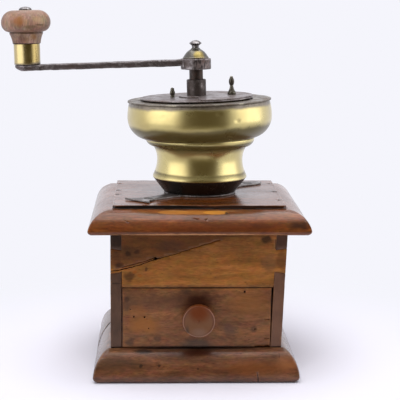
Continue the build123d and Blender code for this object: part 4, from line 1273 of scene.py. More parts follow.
# Marks are in millimetres from the lowest corner of the piece's box, like the splits and holes below them.
BASE_STAINS_AND_PAINTED_SHADE = (
    # The next three are painted shadow on the base's top moulding, under the box and the drawer.
    StainOrPaintedLight((75, 12, 23), (95, 5.0, 3.6), "#2c1c12", 0.75, 0.9),
    StainOrPaintedLight((75, 8, 21), (29, 7, 4.5), "#2c0f07", 0.8, 0.8),
    StainOrPaintedLight((36.7, 9, 21.8), (9, 4, 2.4), "#150805", 0.8),
    StainOrPaintedLight((34.7, 2.5, 12.7), (2.0, 4, 1.8), "#170b06", 0.85),
    StainOrPaintedLight((47.8, 2.5, 12.9), (1.4, 4, 1.2), "#1f0f08", 0.8),
    StainOrPaintedLight((76, 2, 11), (1.2, 4, 1.2), "#1f0f08", 0.7),
    StainOrPaintedLight((18, 3, 14), (26, 9, 9), "#3b2a1b", 0.5, 0.8),
    StainOrPaintedLight((116, 3, 11), (34, 9, 8), "#6f3c18", 0.6, 0.8),
    StainOrPaintedLight((141, 6, 13), (12, 12, 10), "#8a5430", 0.6, 0.8),
    StainOrPaintedLight((75, 1, 0), (95, 8, 4), "#34241a", 0.6, 0.9),
    StainOrPaintedLight((135.4, 8, 18), (0.8, 4, 3), "#201008", 0.6),
    StainOrPaintedLight((74, 12, 23.7), (61, 1.3, 1.5), "#0a0403", 0.95, 0.4, 0.15),
)
BASE_SPLITS = (
    Split(((119.0, 1.2, 8.6), (119.5, 0.2, 4.5), (119.6, 1.6, 0.9)), (0, -1, 0), (0.2, 0.7, 0.9), 1.6),
    Split(
        ((9.6, 89.8, 22.9), (6.8, 85.1, 20.4), (3.8, 79.8, 16.6), (2.1, 72.5, 13.4), (1.2, 62.8, 11.0)),
        (-0.8, 0, 0.6),
        (2.4, 2.6, 2.8, 3.0, 2.8),
        4.0,
        0.12,
    ),
)
TOP_STAINS_AND_PAINTED_SHADE = (
    # Painted shadow and painted reflection of the burr housing on the raised field.
    StainOrPaintedLight((84, 26, 19.3), (40, 9, 3), "#22120a", 0.6, 0.9),
    StainOrPaintedLight((80, 0.5, 6), (92, 6, 6.5), "#4d1c04", 0.55, 0.8),
    StainOrPaintedLight((61, 10.5, 15.4), (12, 3.2, 2.2), "#a3682a", 0.75, 0.2, 0.4),
    StainOrPaintedLight((77, 10.5, 15.4), (15, 3.2, 2.4), "#a3682a", 0.65, 0.2, 0.4),
    StainOrPaintedLight((91, 10.5, 15.3), (10, 3.2, 2.1), "#b87a2c", 0.75, 0.2, 0.3),
    # The next three are painted shadow along the step under the raised field's edge.
    StainOrPaintedLight((50, 17.0, 17.7), (44, 1.3, 2.1), "#0c0403", 1.0, 0.3, 0.1),
    StainOrPaintedLight((112, 17.0, 17.7), (40, 1.3, 2.1), "#1e0a04", 0.95, 0.3, 0.1),
    StainOrPaintedLight((80, 16.9, 16.8), (66, 1.2, 0.9), "#0c0504", 0.95, 0.4, 0.1),
    StainOrPaintedLight((98.8, 9.6, 15), (1.8, 2.5, 1.6), "#1f0d05", 0.85),
    StainOrPaintedLight((150, 1.3, 6.8), (11, 6, 4.5), "#1c0b06", 0.75, 0.8),
    StainOrPaintedLight((122, 2, 6), (12, 5, 4), "#3c1506", 0.5, 0.8),
    StainOrPaintedLight((80, 0, 0.2), (92, 4, 1.9), "#bd875a", 0.9, 0.6, 0.6),
    StainOrPaintedLight((83.5, 17.2, 18.6), (4, 4, 2), "#2a1008", 0.7),
    StainOrPaintedLight((20.4, 90.7, 19.3), (2.4, 2.4, 2), "#1f0f08", 0.8),
    StainOrPaintedLight((20.4, 68.3, 19.3), (2.0, 2.0, 2), "#1f0f08", 0.7),
    StainOrPaintedLight((15.6, 60, 17), (2.2, 2.2, 2), "#1f0f08", 0.7),
    StainOrPaintedLight((136.8, 83.8, 19.3), (3, 2.4, 2), "#1f0f08", 0.8),
)
TOP_SPLITS = (
    Split(
        ((17.4, 16.8, 16.7), (80, 16.8, 16.7), (142.0, 16.8, 16.7)), (0, -0.4, 0.9), (0.7, 0.8, 0.7), 0.9, 0.1
    ),
    Split(((75.3, 5.4, 12.4), (78.2, 4.2, 10.8)), (0, -0.9, 0.5), (0.3, 0.5), 0.6),
    Split(((84.9, 4.8, 11.9), (83.4, 4.0, 10.4)), (0, -0.9, 0.5), (0.2, 0.4), 0.5),
    Split(((25.2, 4.0, 11.0), (28.6, 3.0, 9.3)), (0, -0.9, 0.5), (0.3, 0.5), 0.6),
)
PANEL_STAINS_AND_PAINTED_SHADE = (
    StainOrPaintedLight((34, 0, 34), (64, 12, 26), "#3c1606", 0.5, 0.3, above=((0, 0, 11.0), (80, 0, 34.5))),
    StainOrPaintedLight((14, 0, 25), (13, 12, 9), "#3a2416", 0.5, 0.8, above=((0, 0, 11.0), (80, 0, 34.5))),
    StainOrPaintedLight((44, 0, 31), (16, 12, 6), "#4b2c1e", 0.5, 0.8, above=((0, 0, 11.0), (80, 0, 34.5))),
    StainOrPaintedLight((4, 0, 20), (5.5, 12, 10), "#3d2110", 0.5, 0.5),
    # The next two are painted shadow of the top's overhang, with some grime.
    StainOrPaintedLight((98, 0, 40), (40, 12, 6), "#4a2a12", 0.5, 0.8),
    StainOrPaintedLight((60, 0, 41.5), (85, 12, 5), "#2a170b", 0.5, 0.9),
    StainOrPaintedLight((112.5, 0, 35.4), (5, 6, 4), "#1a0e07", 0.75),
    StainOrPaintedLight((13.7, 0, 8.2), (5.5, 6, 4.5), "#2e1a07", 0.7),
    StainOrPaintedLight((12.8, 0, 25), (3, 4, 2.4), "#241004", 0.7),
    StainOrPaintedLight((19.1, 0, 26.2), (3, 4, 1.8), "#2a1206", 0.6),
    StainOrPaintedLight((6.5, 0, 16.8), (4.5, 6, 3), "#2a1608", 0.7),
    StainOrPaintedLight((17.5, 0, 11.4), (2.2, 4, 1.6), "#894407", 0.7),
    StainOrPaintedLight((21.5, 0, 8.8), (2.5, 4, 1.8), "#894407", 0.6),
    StainOrPaintedLight((26, 0, 13.7), (1.3, 3, 2.2), "#2a1206", 0.6),
    StainOrPaintedLight((115, 0, 17.6), (9, 6, 9), "#5c3c27", 0.5),
    StainOrPaintedLight((124, 0, 20), (5, 8, 10), "#4f2a13", 0.6),
    StainOrPaintedLight((60, 0, 0), (90, 8, 2.5), "#2e1a0c", 0.55, 0.9),
)
PANEL_SPLITS = (
    Split(
        (
            (0.2, 0, 11.9), (8.3, 0, 13.3), (20.9, 0, 16.6), (32.2, 0, 20.8), (45.2, 0, 24.1),
            (61.5, 0, 29.6), (79.5, 0, 35.3),
        ),
        (0, -1, 0), (0.5, 0.9, 0.6, 0.7, 0.4, 0.4, 0.2),
    ),
    Split(
        ((8.3, 0, 14.9), (16.4, 0, 17.1), (24.5, 0, 19.3), (31.7, 0, 21.7)), (0, -1, 0),
        (0.4, 0.5, 0.45, 0.5), 1.5,
    ),
    Pit((32.4, 0, 21.4), (1.5, 1.8, 1.3)),
    Split(((8.1, 0, 0.4), (8.1, 0, 12.2)), (0, -1, 0), (0.45, 0.45), 1.5, 0.1),
    Split(((119.4, 0, 28.4), (119.4, 0, 36.0)), (0, -1, 0), (0.4, 0.3), 1.5, 0.1),
)
DRAWER_STAINS_AND_PAINTED_SHADE = (
    # Painted shadow and painted reflection of the knob, above it, with finger grime.
    StainOrPaintedLight((55, 0, 34), (22, 9, 14), "#260a05", 0.9, 0.85),
    StainOrPaintedLight((5, 0, 34), (9, 6, 12), "#43301f", 0.6, 0.8),
    StainOrPaintedLight((28, 0, 34), (28, 6, 9), "#4e311f", 0.7, 0.7),
    StainOrPaintedLight((16, 0, 17), (15, 6, 9), "#8c551d", 0.65, 0.7),
    StainOrPaintedLight((11, 0, 27.5), (9, 6, 6), "#7d4a20", 0.5),
    StainOrPaintedLight((54, 0, 2), (15, 6, 5), "#463628", 0.7),
    StainOrPaintedLight((78, 0, 13), (8, 6, 7), "#3f2f26", 0.6, 0.8),
    StainOrPaintedLight((96, 0, 13.5), (3.5, 5, 3), "#3a2418", 0.6),
    StainOrPaintedLight((92, 0, 32), (22, 6, 14), "#84511f", 0.45, 0.8),
    StainOrPaintedLight((3.5, 0, 35.5), (3, 5, 3), "#2c1a10", 0.6),
    StainOrPaintedLight((6, 0, 4), (5, 5, 4), "#33241a", 0.6),
    StainOrPaintedLight((26, 0, 6.4), (4, 5, 3), "#33241a", 0.5),
    StainOrPaintedLight((46, 0, 42), (6, 5, 3), "#33241a", 0.5),
    StainOrPaintedLight((54, 0, 0), (75, 6, 1.6), "#150803", 0.85, 0.6, 0.5),
    StainOrPaintedLight((54, 0, 44.6), (75, 6, 1.1), "#150803", 0.85, 0.5, 0.3),
    StainOrPaintedLight((-0.2, 0, 22), (1.1, 6, 40), "#240a04", 0.95, 0.5, 0.3),
    StainOrPaintedLight((109.1, 0, 22), (1.2, 6, 40), "#150803", 0.9, 0.5, 0.3),
)
DRAWER_SPLITS = (
    Pit((8.6, 0, 22.8), (0.7, 1.2, 0.6)),
    Pit((16.4, 0, 22.6), (0.65, 1.2, 0.65)),
    Pit((89.1, 0, 41.4), (0.8, 1.4, 0.9)),
    Pit((6.2, 0, 28.4), (0.4, 0.8, 0.4)),
    Pit((19.4, 0, 14.2), (0.45, 0.8, 0.4)),
    Pit((96.9, 0, 13.4), (0.5, 0.8, 0.4)),
    Pit((100, 0, 0), (3.4, 1.6, 0.8), 0.5),
    Pit((105.6, 0, 0.2), (2.2, 1.8, 1.1), 0.5),
    Split(((103.6, 0, 20.2), (107.4, 0, 20.5)), (0, -1, 0), (0.2, 0.6), 1.0),
    Split(((103.9, 0, 6.6), (107.2, 0, 6.3)), (0, -1, 0), (0.2, 0.6), 1.0),
)
KNOB_STAINS_AND_PAINTED_LIGHT = (
    StainOrPaintedLight((11.9, 8, 11.9), (14, 13, 14), "#472310", 0.9, 0.1, 0.0),
    StainOrPaintedLight((11.7, 0, 11.5), (10.9, 7, 10.9), "#66452f", 0.95, 0.12, 0.02),
    # Painted shade on the upper face, under the rim.
    StainOrPaintedLight((12.2, 1, 18.6), (11.5, 9, 10.5), "#5e2a06", 1.0, 0.75, 0.3),
    # Painted reflection of the floor: the lower face greyer.
    StainOrPaintedLight((12, 1, 3.5), (9, 7, 5), "#6e5548", 0.7, 0.9, 0.4),
    # Painted shadow: a dark crescent at the lower left.
    StainOrPaintedLight((3.6, 0, 5.0), (2.4, 7, 6.0), "#3a322c", 0.75, 0.9, 0.1),
)
LEFT_STAINS = (
    StainOrPaintedLight((4, 0, 0), (8, 4, 1.2), "#0a0403", 0.9, 0.5, 0.3),
    StainOrPaintedLight((4, 0, 80), (7, 5, 7), "#1c120d", 0.6, 0.5),
    StainOrPaintedLight((4, 0, 48), (6, 3, 0.7), "#1c100a", 0.6),
)
RIGHT_STAINS = (
    StainOrPaintedLight((8, 0, 80), (8, 5, 7), "#2c1a12", 0.4, 0.5),
    StainOrPaintedLight((6, 0, 0), (10, 4, 1.2), "#0a0403", 0.9, 0.5, 0.3),
)


@dataclass
class WoodenBox(SubAssembly):
    """Base, sides, front panel, back and top, with the nails that hold them.

    Attributes:
        base_wear: Wear of the base.
        top_wear: Wear of the top.
        side_wear: Wear of the sides and the back.
        panel_wear: Wear of the front panel.
        strip_wear: Wear of the kicker strips.
    """

    base_wear: Wear = Wear(1.0, 3.0, 0.25, 40.0, 0.7, 9.0, 1.0)
    top_wear: Wear = Wear(0.5, 3.0, 0.22, 36.0, 0.6, 8.0, 2.0)
    side_wear: Wear = Wear(0.45, 3.5, 0.1, 40.0, 0.35, 7.0, 3.0)
    panel_wear: Wear = Wear(0.35, 2.6, 0.12, 30.0, 0.25, 6.0, 4.0)
    strip_wear: Wear = Wear(0.3, 8.0)

    def build(self) -> list[str]:
        """Builds the box.

        Returns:
            The names of its pieces.
        """
        gap = DarkGap().build()
        # Waxed and knocked about: dark brown, with a full film that mirrors the room at low angles, and
        # painted shadow under the box.
        finish = AgedWood(
            "base_fruitwood_waxed", "#4a2c18", "#59351e", "#6a4228", "#8a6142", Grain.ALONG_X, end="#442c1d",
            coat=1.0, stains_and_painted_light=BASE_STAINS_AND_PAINTED_SHADE, seed=1.3,
        )
        self.board("base_board", self.base_wear, finish, BASE_SPLITS, gap)
        # Waxed and rubbed by hands: the reddest and the shiniest of the boards, with painted shadow along its
        # step and under the housing.
        finish = AgedWood(
            "top_fruitwood_waxed", "#4f2809", "#62320c", "#754015", "#9c6230", Grain.ALONG_X, end="#4a2a14",
            coat=1.0, coat_roughness=0.13, stains_and_painted_light=TOP_STAINS_AND_PAINTED_SHADE, seed=2.1,
        )
        self.board("top_board", self.top_wear, finish, TOP_SPLITS, gap)
        # Planed and in the shade of handling: dark, quiet and low in shine.
        finish = AgedWood(
            "left_side_fruitwood_planed", "#3c2416", "#57351f", "#69432a", "#7c5638", Grain.ALONG_Y,
            end="#493428", stains_and_painted_light=LEFT_STAINS, seed=3.4,
        )
        self.board("left_side_board", self.side_wear, finish)
        # The same, a little paler, since it was made from another board.
        finish = AgedWood(
            "right_side_fruitwood_planed", "#42281a", "#5e3922", "#70482e", "#84603f", Grain.ALONG_Y,
            end="#5c3f2f", stains_and_painted_light=RIGHT_STAINS, seed=4.4,
        )
        self.board("right_side_board", self.side_wear, finish)
        # Planed and faded by light: the yellowest board, with little figure, and painted shadow under the
        # top's overhang.
        finish = AgedWood(
            "panel_fruitwood_planed", "#734819", "#84521f", "#925c27", "#9a6a36", Grain.ALONG_X, cloud=0.16,
            thread=0.2, stains_and_painted_light=PANEL_STAINS_AND_PAINTED_SHADE, seed=5.2,
        )
        self.board("front_panel", self.panel_wear, finish, PANEL_SPLITS, gap)
        # Planed, and handled less than the rest: even brown.
        finish = AgedWood(
            "back_fruitwood_planed", "#4c2e1a", "#643e23", "#75492b", "#86603c", Grain.ALONG_X, seed=6.1
        )
        self.board("back_board", self.side_wear, finish)
        # Sawn and never waxed: pale and matt.
        finish = AgedWood(
            "kicker_beech_sawn", "#6f5238", "#86684a", "#9b7c5a", "#a88a68", Grain.ALONG_Y, roughness=0.7,
            coat=0.0,
        )
        for node in ("left_kicker_strip", "right_kicker_strip"):
            self.board(node, self.strip_wear, finish)
        # Wrought and rusted in: brown-black, with a grey gleam.
        self.dress(["top_nails", "base_nails"], WornIron("wrought_nail_iron", "#3a2d28", "#6b605c"))
        return self.built


@dataclass
class Drawer(SubAssembly):
    """The drawer that catches the grounds, with its turned knob.

    Attributes:
        front_wear: Wear of the drawer's front.
        box_wear: Wear of its other boards.
        knob_rim_mm: Depth of the knob's rim.
        rim_round_mm: How far the rim is rounded in at its face.
        flare_from: The share of the knob's radius at which its back has flared out to the rim.
        dish_mm: How deep its face is dished.
        dish_to: The share of its radius that the dish reaches.
        dish_from: The share of the rim's depth from which points sink into the dish.
    """

    front_wear: Wear = Wear(0.35, 2.6, 0.12, 26.0, 0.45, 5.0, 6.0)
    box_wear: Wear = Wear(0.5, 6.0, 0.12, 30.0, 0.4, 7.0, 7.0)
    knob_rim_mm: float = 5.1
    rim_round_mm: float = 1.2
    flare_from: float = 0.8
    dish_mm: float = 2.3
    dish_to: float = 0.82
    dish_from: float = 0.6

    def build(self) -> list[str]:
        """Builds the drawer.

        Returns:
            The names of its pieces.
        """
        # Planed and greased by coffee: mid brown with dark smudges, and painted shadow above the knob.
        finish = AgedWood(
            "drawer_fruitwood_planed", "#5e391f", "#6c4325", "#7b4e2a", "#8a5f38", Grain.ALONG_X,
            stains_and_painted_light=DRAWER_STAINS_AND_PAINTED_SHADE, seed=7.7,
        )
        self.board("drawer_front", self.front_wear, finish, DRAWER_SPLITS, DarkGap().build())
        # Planed and left bare: pale and matt.
        finish = AgedWood(
            "drawer_beech_bare", "#6d4f36", "#8a6a4a", "#9d7e5c", "#ab8e6a", Grain.ALONG_Y, roughness=0.68,
            coat=0.0,
        )
        for node in ("drawer_left_side", "drawer_right_side", "drawer_back", "drawer_floor"):
            self.board(node, self.box_wear, finish)
        # Drawn wire: brown-black, with a grey gleam.
        self.dress(["drawer_nails"], WornIron("drawn_nail_iron", "#3a2d28", "#6b605c"))
        self.knob()
        return self.built

    def knob(self) -> None:
        """Builds the knob, turned from redder wood with its end grain outwards."""
        node = "drawer_knob"
        low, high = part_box(node)
        place = axis_place(((low.x + high.x) / 2, high.y, (low.z + high.z) / 2), (0.0, -1.0, 0.0))
        # Turned and polished by fingers: red brown, with a soft shine on its rim, painted shade on the upper
        # face and a painted reflection on the lower face.
        finish = AgedWood(
            "knob_fruitwood_turned", "#6e4632", "#83573f", "#97694f", "#a07860", Grain.ALONG_Y, end="#b58d79",
            roughness=0.4, sheen=0.05, coat=0.25, stains_and_painted_light=KNOB_STAINS_AND_PAINTED_LIGHT, corner=tuple(low), seed=8.2,
        )
        face = (high.y - low.y) - self.knob_rim_mm * MM
        edge = (high.x - low.x) / 2

        def fuller(spot: Vector) -> Vector:
            """Fills the face out to a rim that is as wide as the knob.

            Args:
                spot: A point of the piece.

            Returns:
                How far it moves.
            """
            reach = math.hypot(spot.x, spot.y)
            if spot.z < face or reach < 1e-6:
                return Vector()
            rise = (spot.z - face) / (self.knob_rim_mm * MM)
            full = edge - self.rim_round_mm * MM * rise**3
            grow = max(0.0, full - reach) * min(1.0, reach / (self.flare_from * edge)) ** 6
            sunk = max(0.0, 1 - (reach / (self.dish_to * edge)) ** 2) if rise > self.dish_from else 0.0
            dish = self.dish_mm * MM * sunk
            return Vector((spot.x, spot.y, 0.0)) / reach * grow - Vector((0.0, 0.0, dish))

        self.stand_in(
            turned_copy(node, place, Turning(128, 0.7, 0.3, 0.15, 14.0), fuller), node, finish.build()
        )


HANDLE_STAINS_AND_PAINTED_HIGHLIGHT = (
    StainOrPaintedLight((14.4, 0, 32), (7.5, 9, 5), "#8a5426", 0.75, 0.8),
    StainOrPaintedLight((29, 3, 34), (6, 9, 4), "#a88c68", 0.6, 0.8),
    StainOrPaintedLight((23, 0, 28.5), (7, 9, 1.6), "#5c4a2e", 0.6),
    StainOrPaintedLight((30, 3, 30), (4, 9, 0.9), "#4a3420", 0.7),
    StainOrPaintedLight((17.1, 4, 19), (5.5, 8, 5), "#583618", 0.6, 0.7),
    StainOrPaintedLight((9, 6, 19), (4, 8, 5), "#a5857e", 0.6, 0.7),
    StainOrPaintedLight((25.5, 6, 20.5), (3, 8, 3.5), "#8f5c30", 0.6, 0.7),
    StainOrPaintedLight((18.4, 18.4, 15.6), (26, 26, 0.9), "#241006", 0.9, 0.5, 0.3),
    StainOrPaintedLight((18.4, 18.4, 23.9), (26, 26, 0.8), "#34200f", 0.85, 0.6, 0.4),
    # Painted highlight: the pale grey sheen on the bulb's top.
    StainOrPaintedLight((18.4, 18.4, 41.5), (20, 20, 4.5), "#b0a094", 0.7, 0.9),
)


@dataclass
class MillWorks(SubAssembly):
    """The burr housing, the burrs, and the strap and bridge that hold them in the top board.

    Attributes:
        arm_from_mm: How far from the strap's middle its arms start to lift.
        arm_to_mm: How far from it they end.
        lift_mm: How far their ends lift.
        leaf_swell: How much wider the back arm swells.
        leaf_taper: How much of its width it loses towards its point.
        leaf_from: The share of the arm's end at which it starts to taper.
        leaf_aside_mm: How far its point lies to one side.
    """

    arm_from_mm: float = 44.0
    arm_to_mm: float = 66.5
    lift_mm: float = 0.35
    leaf_swell: float = 0.25
    leaf_taper: float = 0.8
    leaf_from: float = 0.5
    leaf_aside_mm: float = 2.5

    def build(self) -> list[str]:
        """Builds the mill works.

        Returns:
            The names of its pieces.
        """
        upright = centred_on("burr_housing", UPRIGHT)
        # Cast and blacked: nearly black, with a dull shine.
        cone = WornIron("housing_cast_iron_blacked", "#1b1714", "#3a3531", "#241a15", 0.2, 0.3, pit_mm=2.0)
        housing = turned_copy("burr_housing", upright, Turning(160, 1.2, 0.3, 0.12, 15.0))
        self.stand_in(housing, "burr_housing", cone.build())
        # Sheared from sheet and rubbed: blue grey, shiny where it is bare.
        strap = WornIron("strap_iron_sheared", "#716b69", "#9d9795", "#54463f", 0.7, 0.32)
        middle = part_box("mounting_strap")

        def bent(spot: Vector) -> Vector:
            """Draws the back arm out to the shape of a leaf and lifts the ends of both arms.

            Args:
                spot: A point of the piece.

            Returns:
                How far it moves.
            """
            x = spot.x - (middle[0].x + middle[1].x) / 2
            y = spot.y - (middle[0].y + middle[1].y) / 2
            along, aside = (x + y) / math.sqrt(2), (x - y) / math.sqrt(2)
            rise = max(0.0, abs(along) / MM - self.arm_from_mm) / (self.arm_to_mm - self.arm_from_mm)
            lift = self.lift_mm * MM * rise * rise
            if along < 0:
                return Vector((0.0, 0.0, lift))
            point = min(1.0, max(0.0, (rise - self.leaf_from) / (1 - self.leaf_from))) ** 1.5
            swell = 1 + self.leaf_swell * math.sin(math.pi * min(1.0, rise))
            out = aside * (swell * (1 - self.leaf_taper * point) - 1) + self.leaf_aside_mm * MM * point
            return Vector((out / math.sqrt(2), -out / math.sqrt(2), lift))

        plate = worn_copy("mounting_strap", Wear(0.25, 3.0, 0.12, 18.0, 0.2, 6.0), bent)
        self.stand_in(plate, "mounting_strap", strap.build())
        # Turned: grey brown.
        self.dress(["strap_screws"], WornIron("strap_screw_iron", "#4e4743", "#7d7673"))
        # Cut and hardened: grey, bright at its edges.
        self.dress(["outer_burr", "inner_burr"], WornIron("burr_steel_cut", "#4b4643", "#8b8683", "#3d2c22"))
        # Forged and left so: dark grey brown.
        bridge = WornIron("bridge_iron_forged", "#4a423f", "#77706e")
        self.dress(
            ["lower_bridge", "bridge_screws", "lock_nut", "adjusting_screw", "burr_pin", "thrust_ball"],
            bridge,
        )
        return self.built


@dataclass
class Hopper(SubAssembly):
    """The spun brass neck and bowl.

    Attributes:
        segments: Facets round each of them.
        bead_film_mm: Where the film under the neck's bead starts and ends, above its foot.
        shoulder_film_and_shade_mm: Where the film of the neck's shoulder starts and ends, below its top; it
            is also painted shade under the bead.
        bowl_film_and_reflection_mm: How far the bowl's film reaches below its foot and above it; it is also a
            painted dark reflection of the shaded top board.
        crust_mm: How far the thick tarnish reaches below the bowl's edge and above it.
        dents: The bowl's dents.
    """

    segments: int = 224
    bead_film_mm: tuple[float, float] = (2.6, 4.6)
    shoulder_film_and_shade_mm: tuple[float, float] = (8.5, 2.6)
    bowl_film_and_reflection_mm: tuple[float, float] = (4.0, 11.5)
    crust_mm: tuple[float, float] = (3.1, 2.0)
    dents: tuple[Dent, ...] = (
        Dent(-61.6, 16.7, 2.2, 0.4),
        Dent(-77, 22.4, 2.0, 0.3),
        Dent(-121, 20.5, 2.4, 0.35),
    )

    def build(self) -> list[str]:
        """Builds the hopper.

        Returns:
            The names of its pieces.
        """
        upright = centred_on("burr_housing", UPRIGHT)
        low, top = local_span("hopper_neck", upright)
        bead = tuple(low + rise * MM for rise in self.bead_film_mm)
        shoulder = tuple(top - drop * MM for drop in self.shoulder_film_and_shade_mm)
        # Spun and rubbed bright, with brown films in the hollows that a cloth leaves out; the one under the
        # top bead is also painted shade.
        finish = SpunBrass(
            "neck_brass_spun", foot=tuple(upright.translation), films_and_painted_shade=(bead, shoulder), fade_mm=(2.6, 0.9),
            seed=0.4,
        )
        neck = turned_copy("hopper_neck", upright, Turning(self.segments, 1.0, 0.3, 0.12, 24.0))
        self.stand_in(neck, "hopper_neck", finish.build())

        lean = centred_on("rim_ring", joint_place("crank_turn"))
        low, high = local_span("hopper_bowl", lean)
        # The same, with thick tarnish under its edge, and a brown film low on its belly that is partly patina
        # and partly a painted dark reflection of the shaded top board.
        finish = SpunBrass(
            "bowl_brass_spun", foot=tuple(lean.translation), axis=axis_of(lean),
            bands=((high - self.crust_mm[0] * MM, high + self.crust_mm[1] * MM),),
            films_and_painted_shade=((low - self.bowl_film_and_reflection_mm[0] * MM, low + self.bowl_film_and_reflection_mm[1] * MM),), film="#4d4219",
            seed=1.1,
        )
        bowl = turned_copy(
            "hopper_bowl", lean, Turning(self.segments, 1.0, 0.3, 0.25, 26.0, dents=self.dents)
        )
        self.stand_in(bowl, "hopper_bowl", finish.build())
        return self.built


@dataclass
class Lid(SubAssembly):
    """The lid with its window and turning door, the ring under it and the bridge that bears the sleeve."""

    def build(self) -> list[str]:
        """Builds the lid.

        Returns:
            The names of its pieces.
        """
        lean = joint_place("crank_turn")
        ring_place = centred_on("rim_ring", lean)
        # Cut from sheet: pinkish grey where it is bare, brown where it isn't.
        sheet = WornIron("lid_iron_sheet", "#756b6a", "#a39b9a", "#57463e", 0.6, 0.36).build()
        # The same, yellower, as it takes its colour from the brass.
        ring = WornIron("rim_iron_sheet", "#6e665c", "#a39b86", "#5a4c3e", 0.7, 0.36).build()
        self.stand_in(
            turned_copy("rim_ring", ring_place, Turning(192, 1.5, 0.25, 0.25, 18.0)), "rim_ring", ring
        )
        self.stand_in(worn_copy("lid_plate", Wear(0.25, 2.4, 0.1, 20.0, 0.25, 5.0, 11.0)), "lid_plate", sheet)
        self.stand_in(worn_copy("lid_door", Wear(0.25, 2.4, 0.1, 20.0, 0.25, 5.0, 12.0)), "lid_door", sheet)
        # Turned and oiled: dark, with a narrow gleam.
        turned = WornIron("spindle_iron_turned", "#4a423f", "#7c7472", "#382a23", 0.7, 0.4).build()
        sleeve = turned_copy("bearing_sleeve", lean, Turning(96, 1.0, 0.3, 0.08, 8.0))
        self.stand_in(sleeve, "bearing_sleeve", turned)
        # Turned and handled: dark steel with sharp gleams.
        small = WornIron("finial_steel_turned", "#5d594e", "#a8a294", "#3a3026", 0.9, 0.25, 4.0, 0.8)
        self.dress(["lid_screw", "lid_stop_pin", "door_finial"], small)
        # Forged and left so: dark brown.
        self.dress(["upper_bridge", "beam_rivets"], WornIron("beam_iron_forged", "#463d3a", "#726a68"))
        return self.built


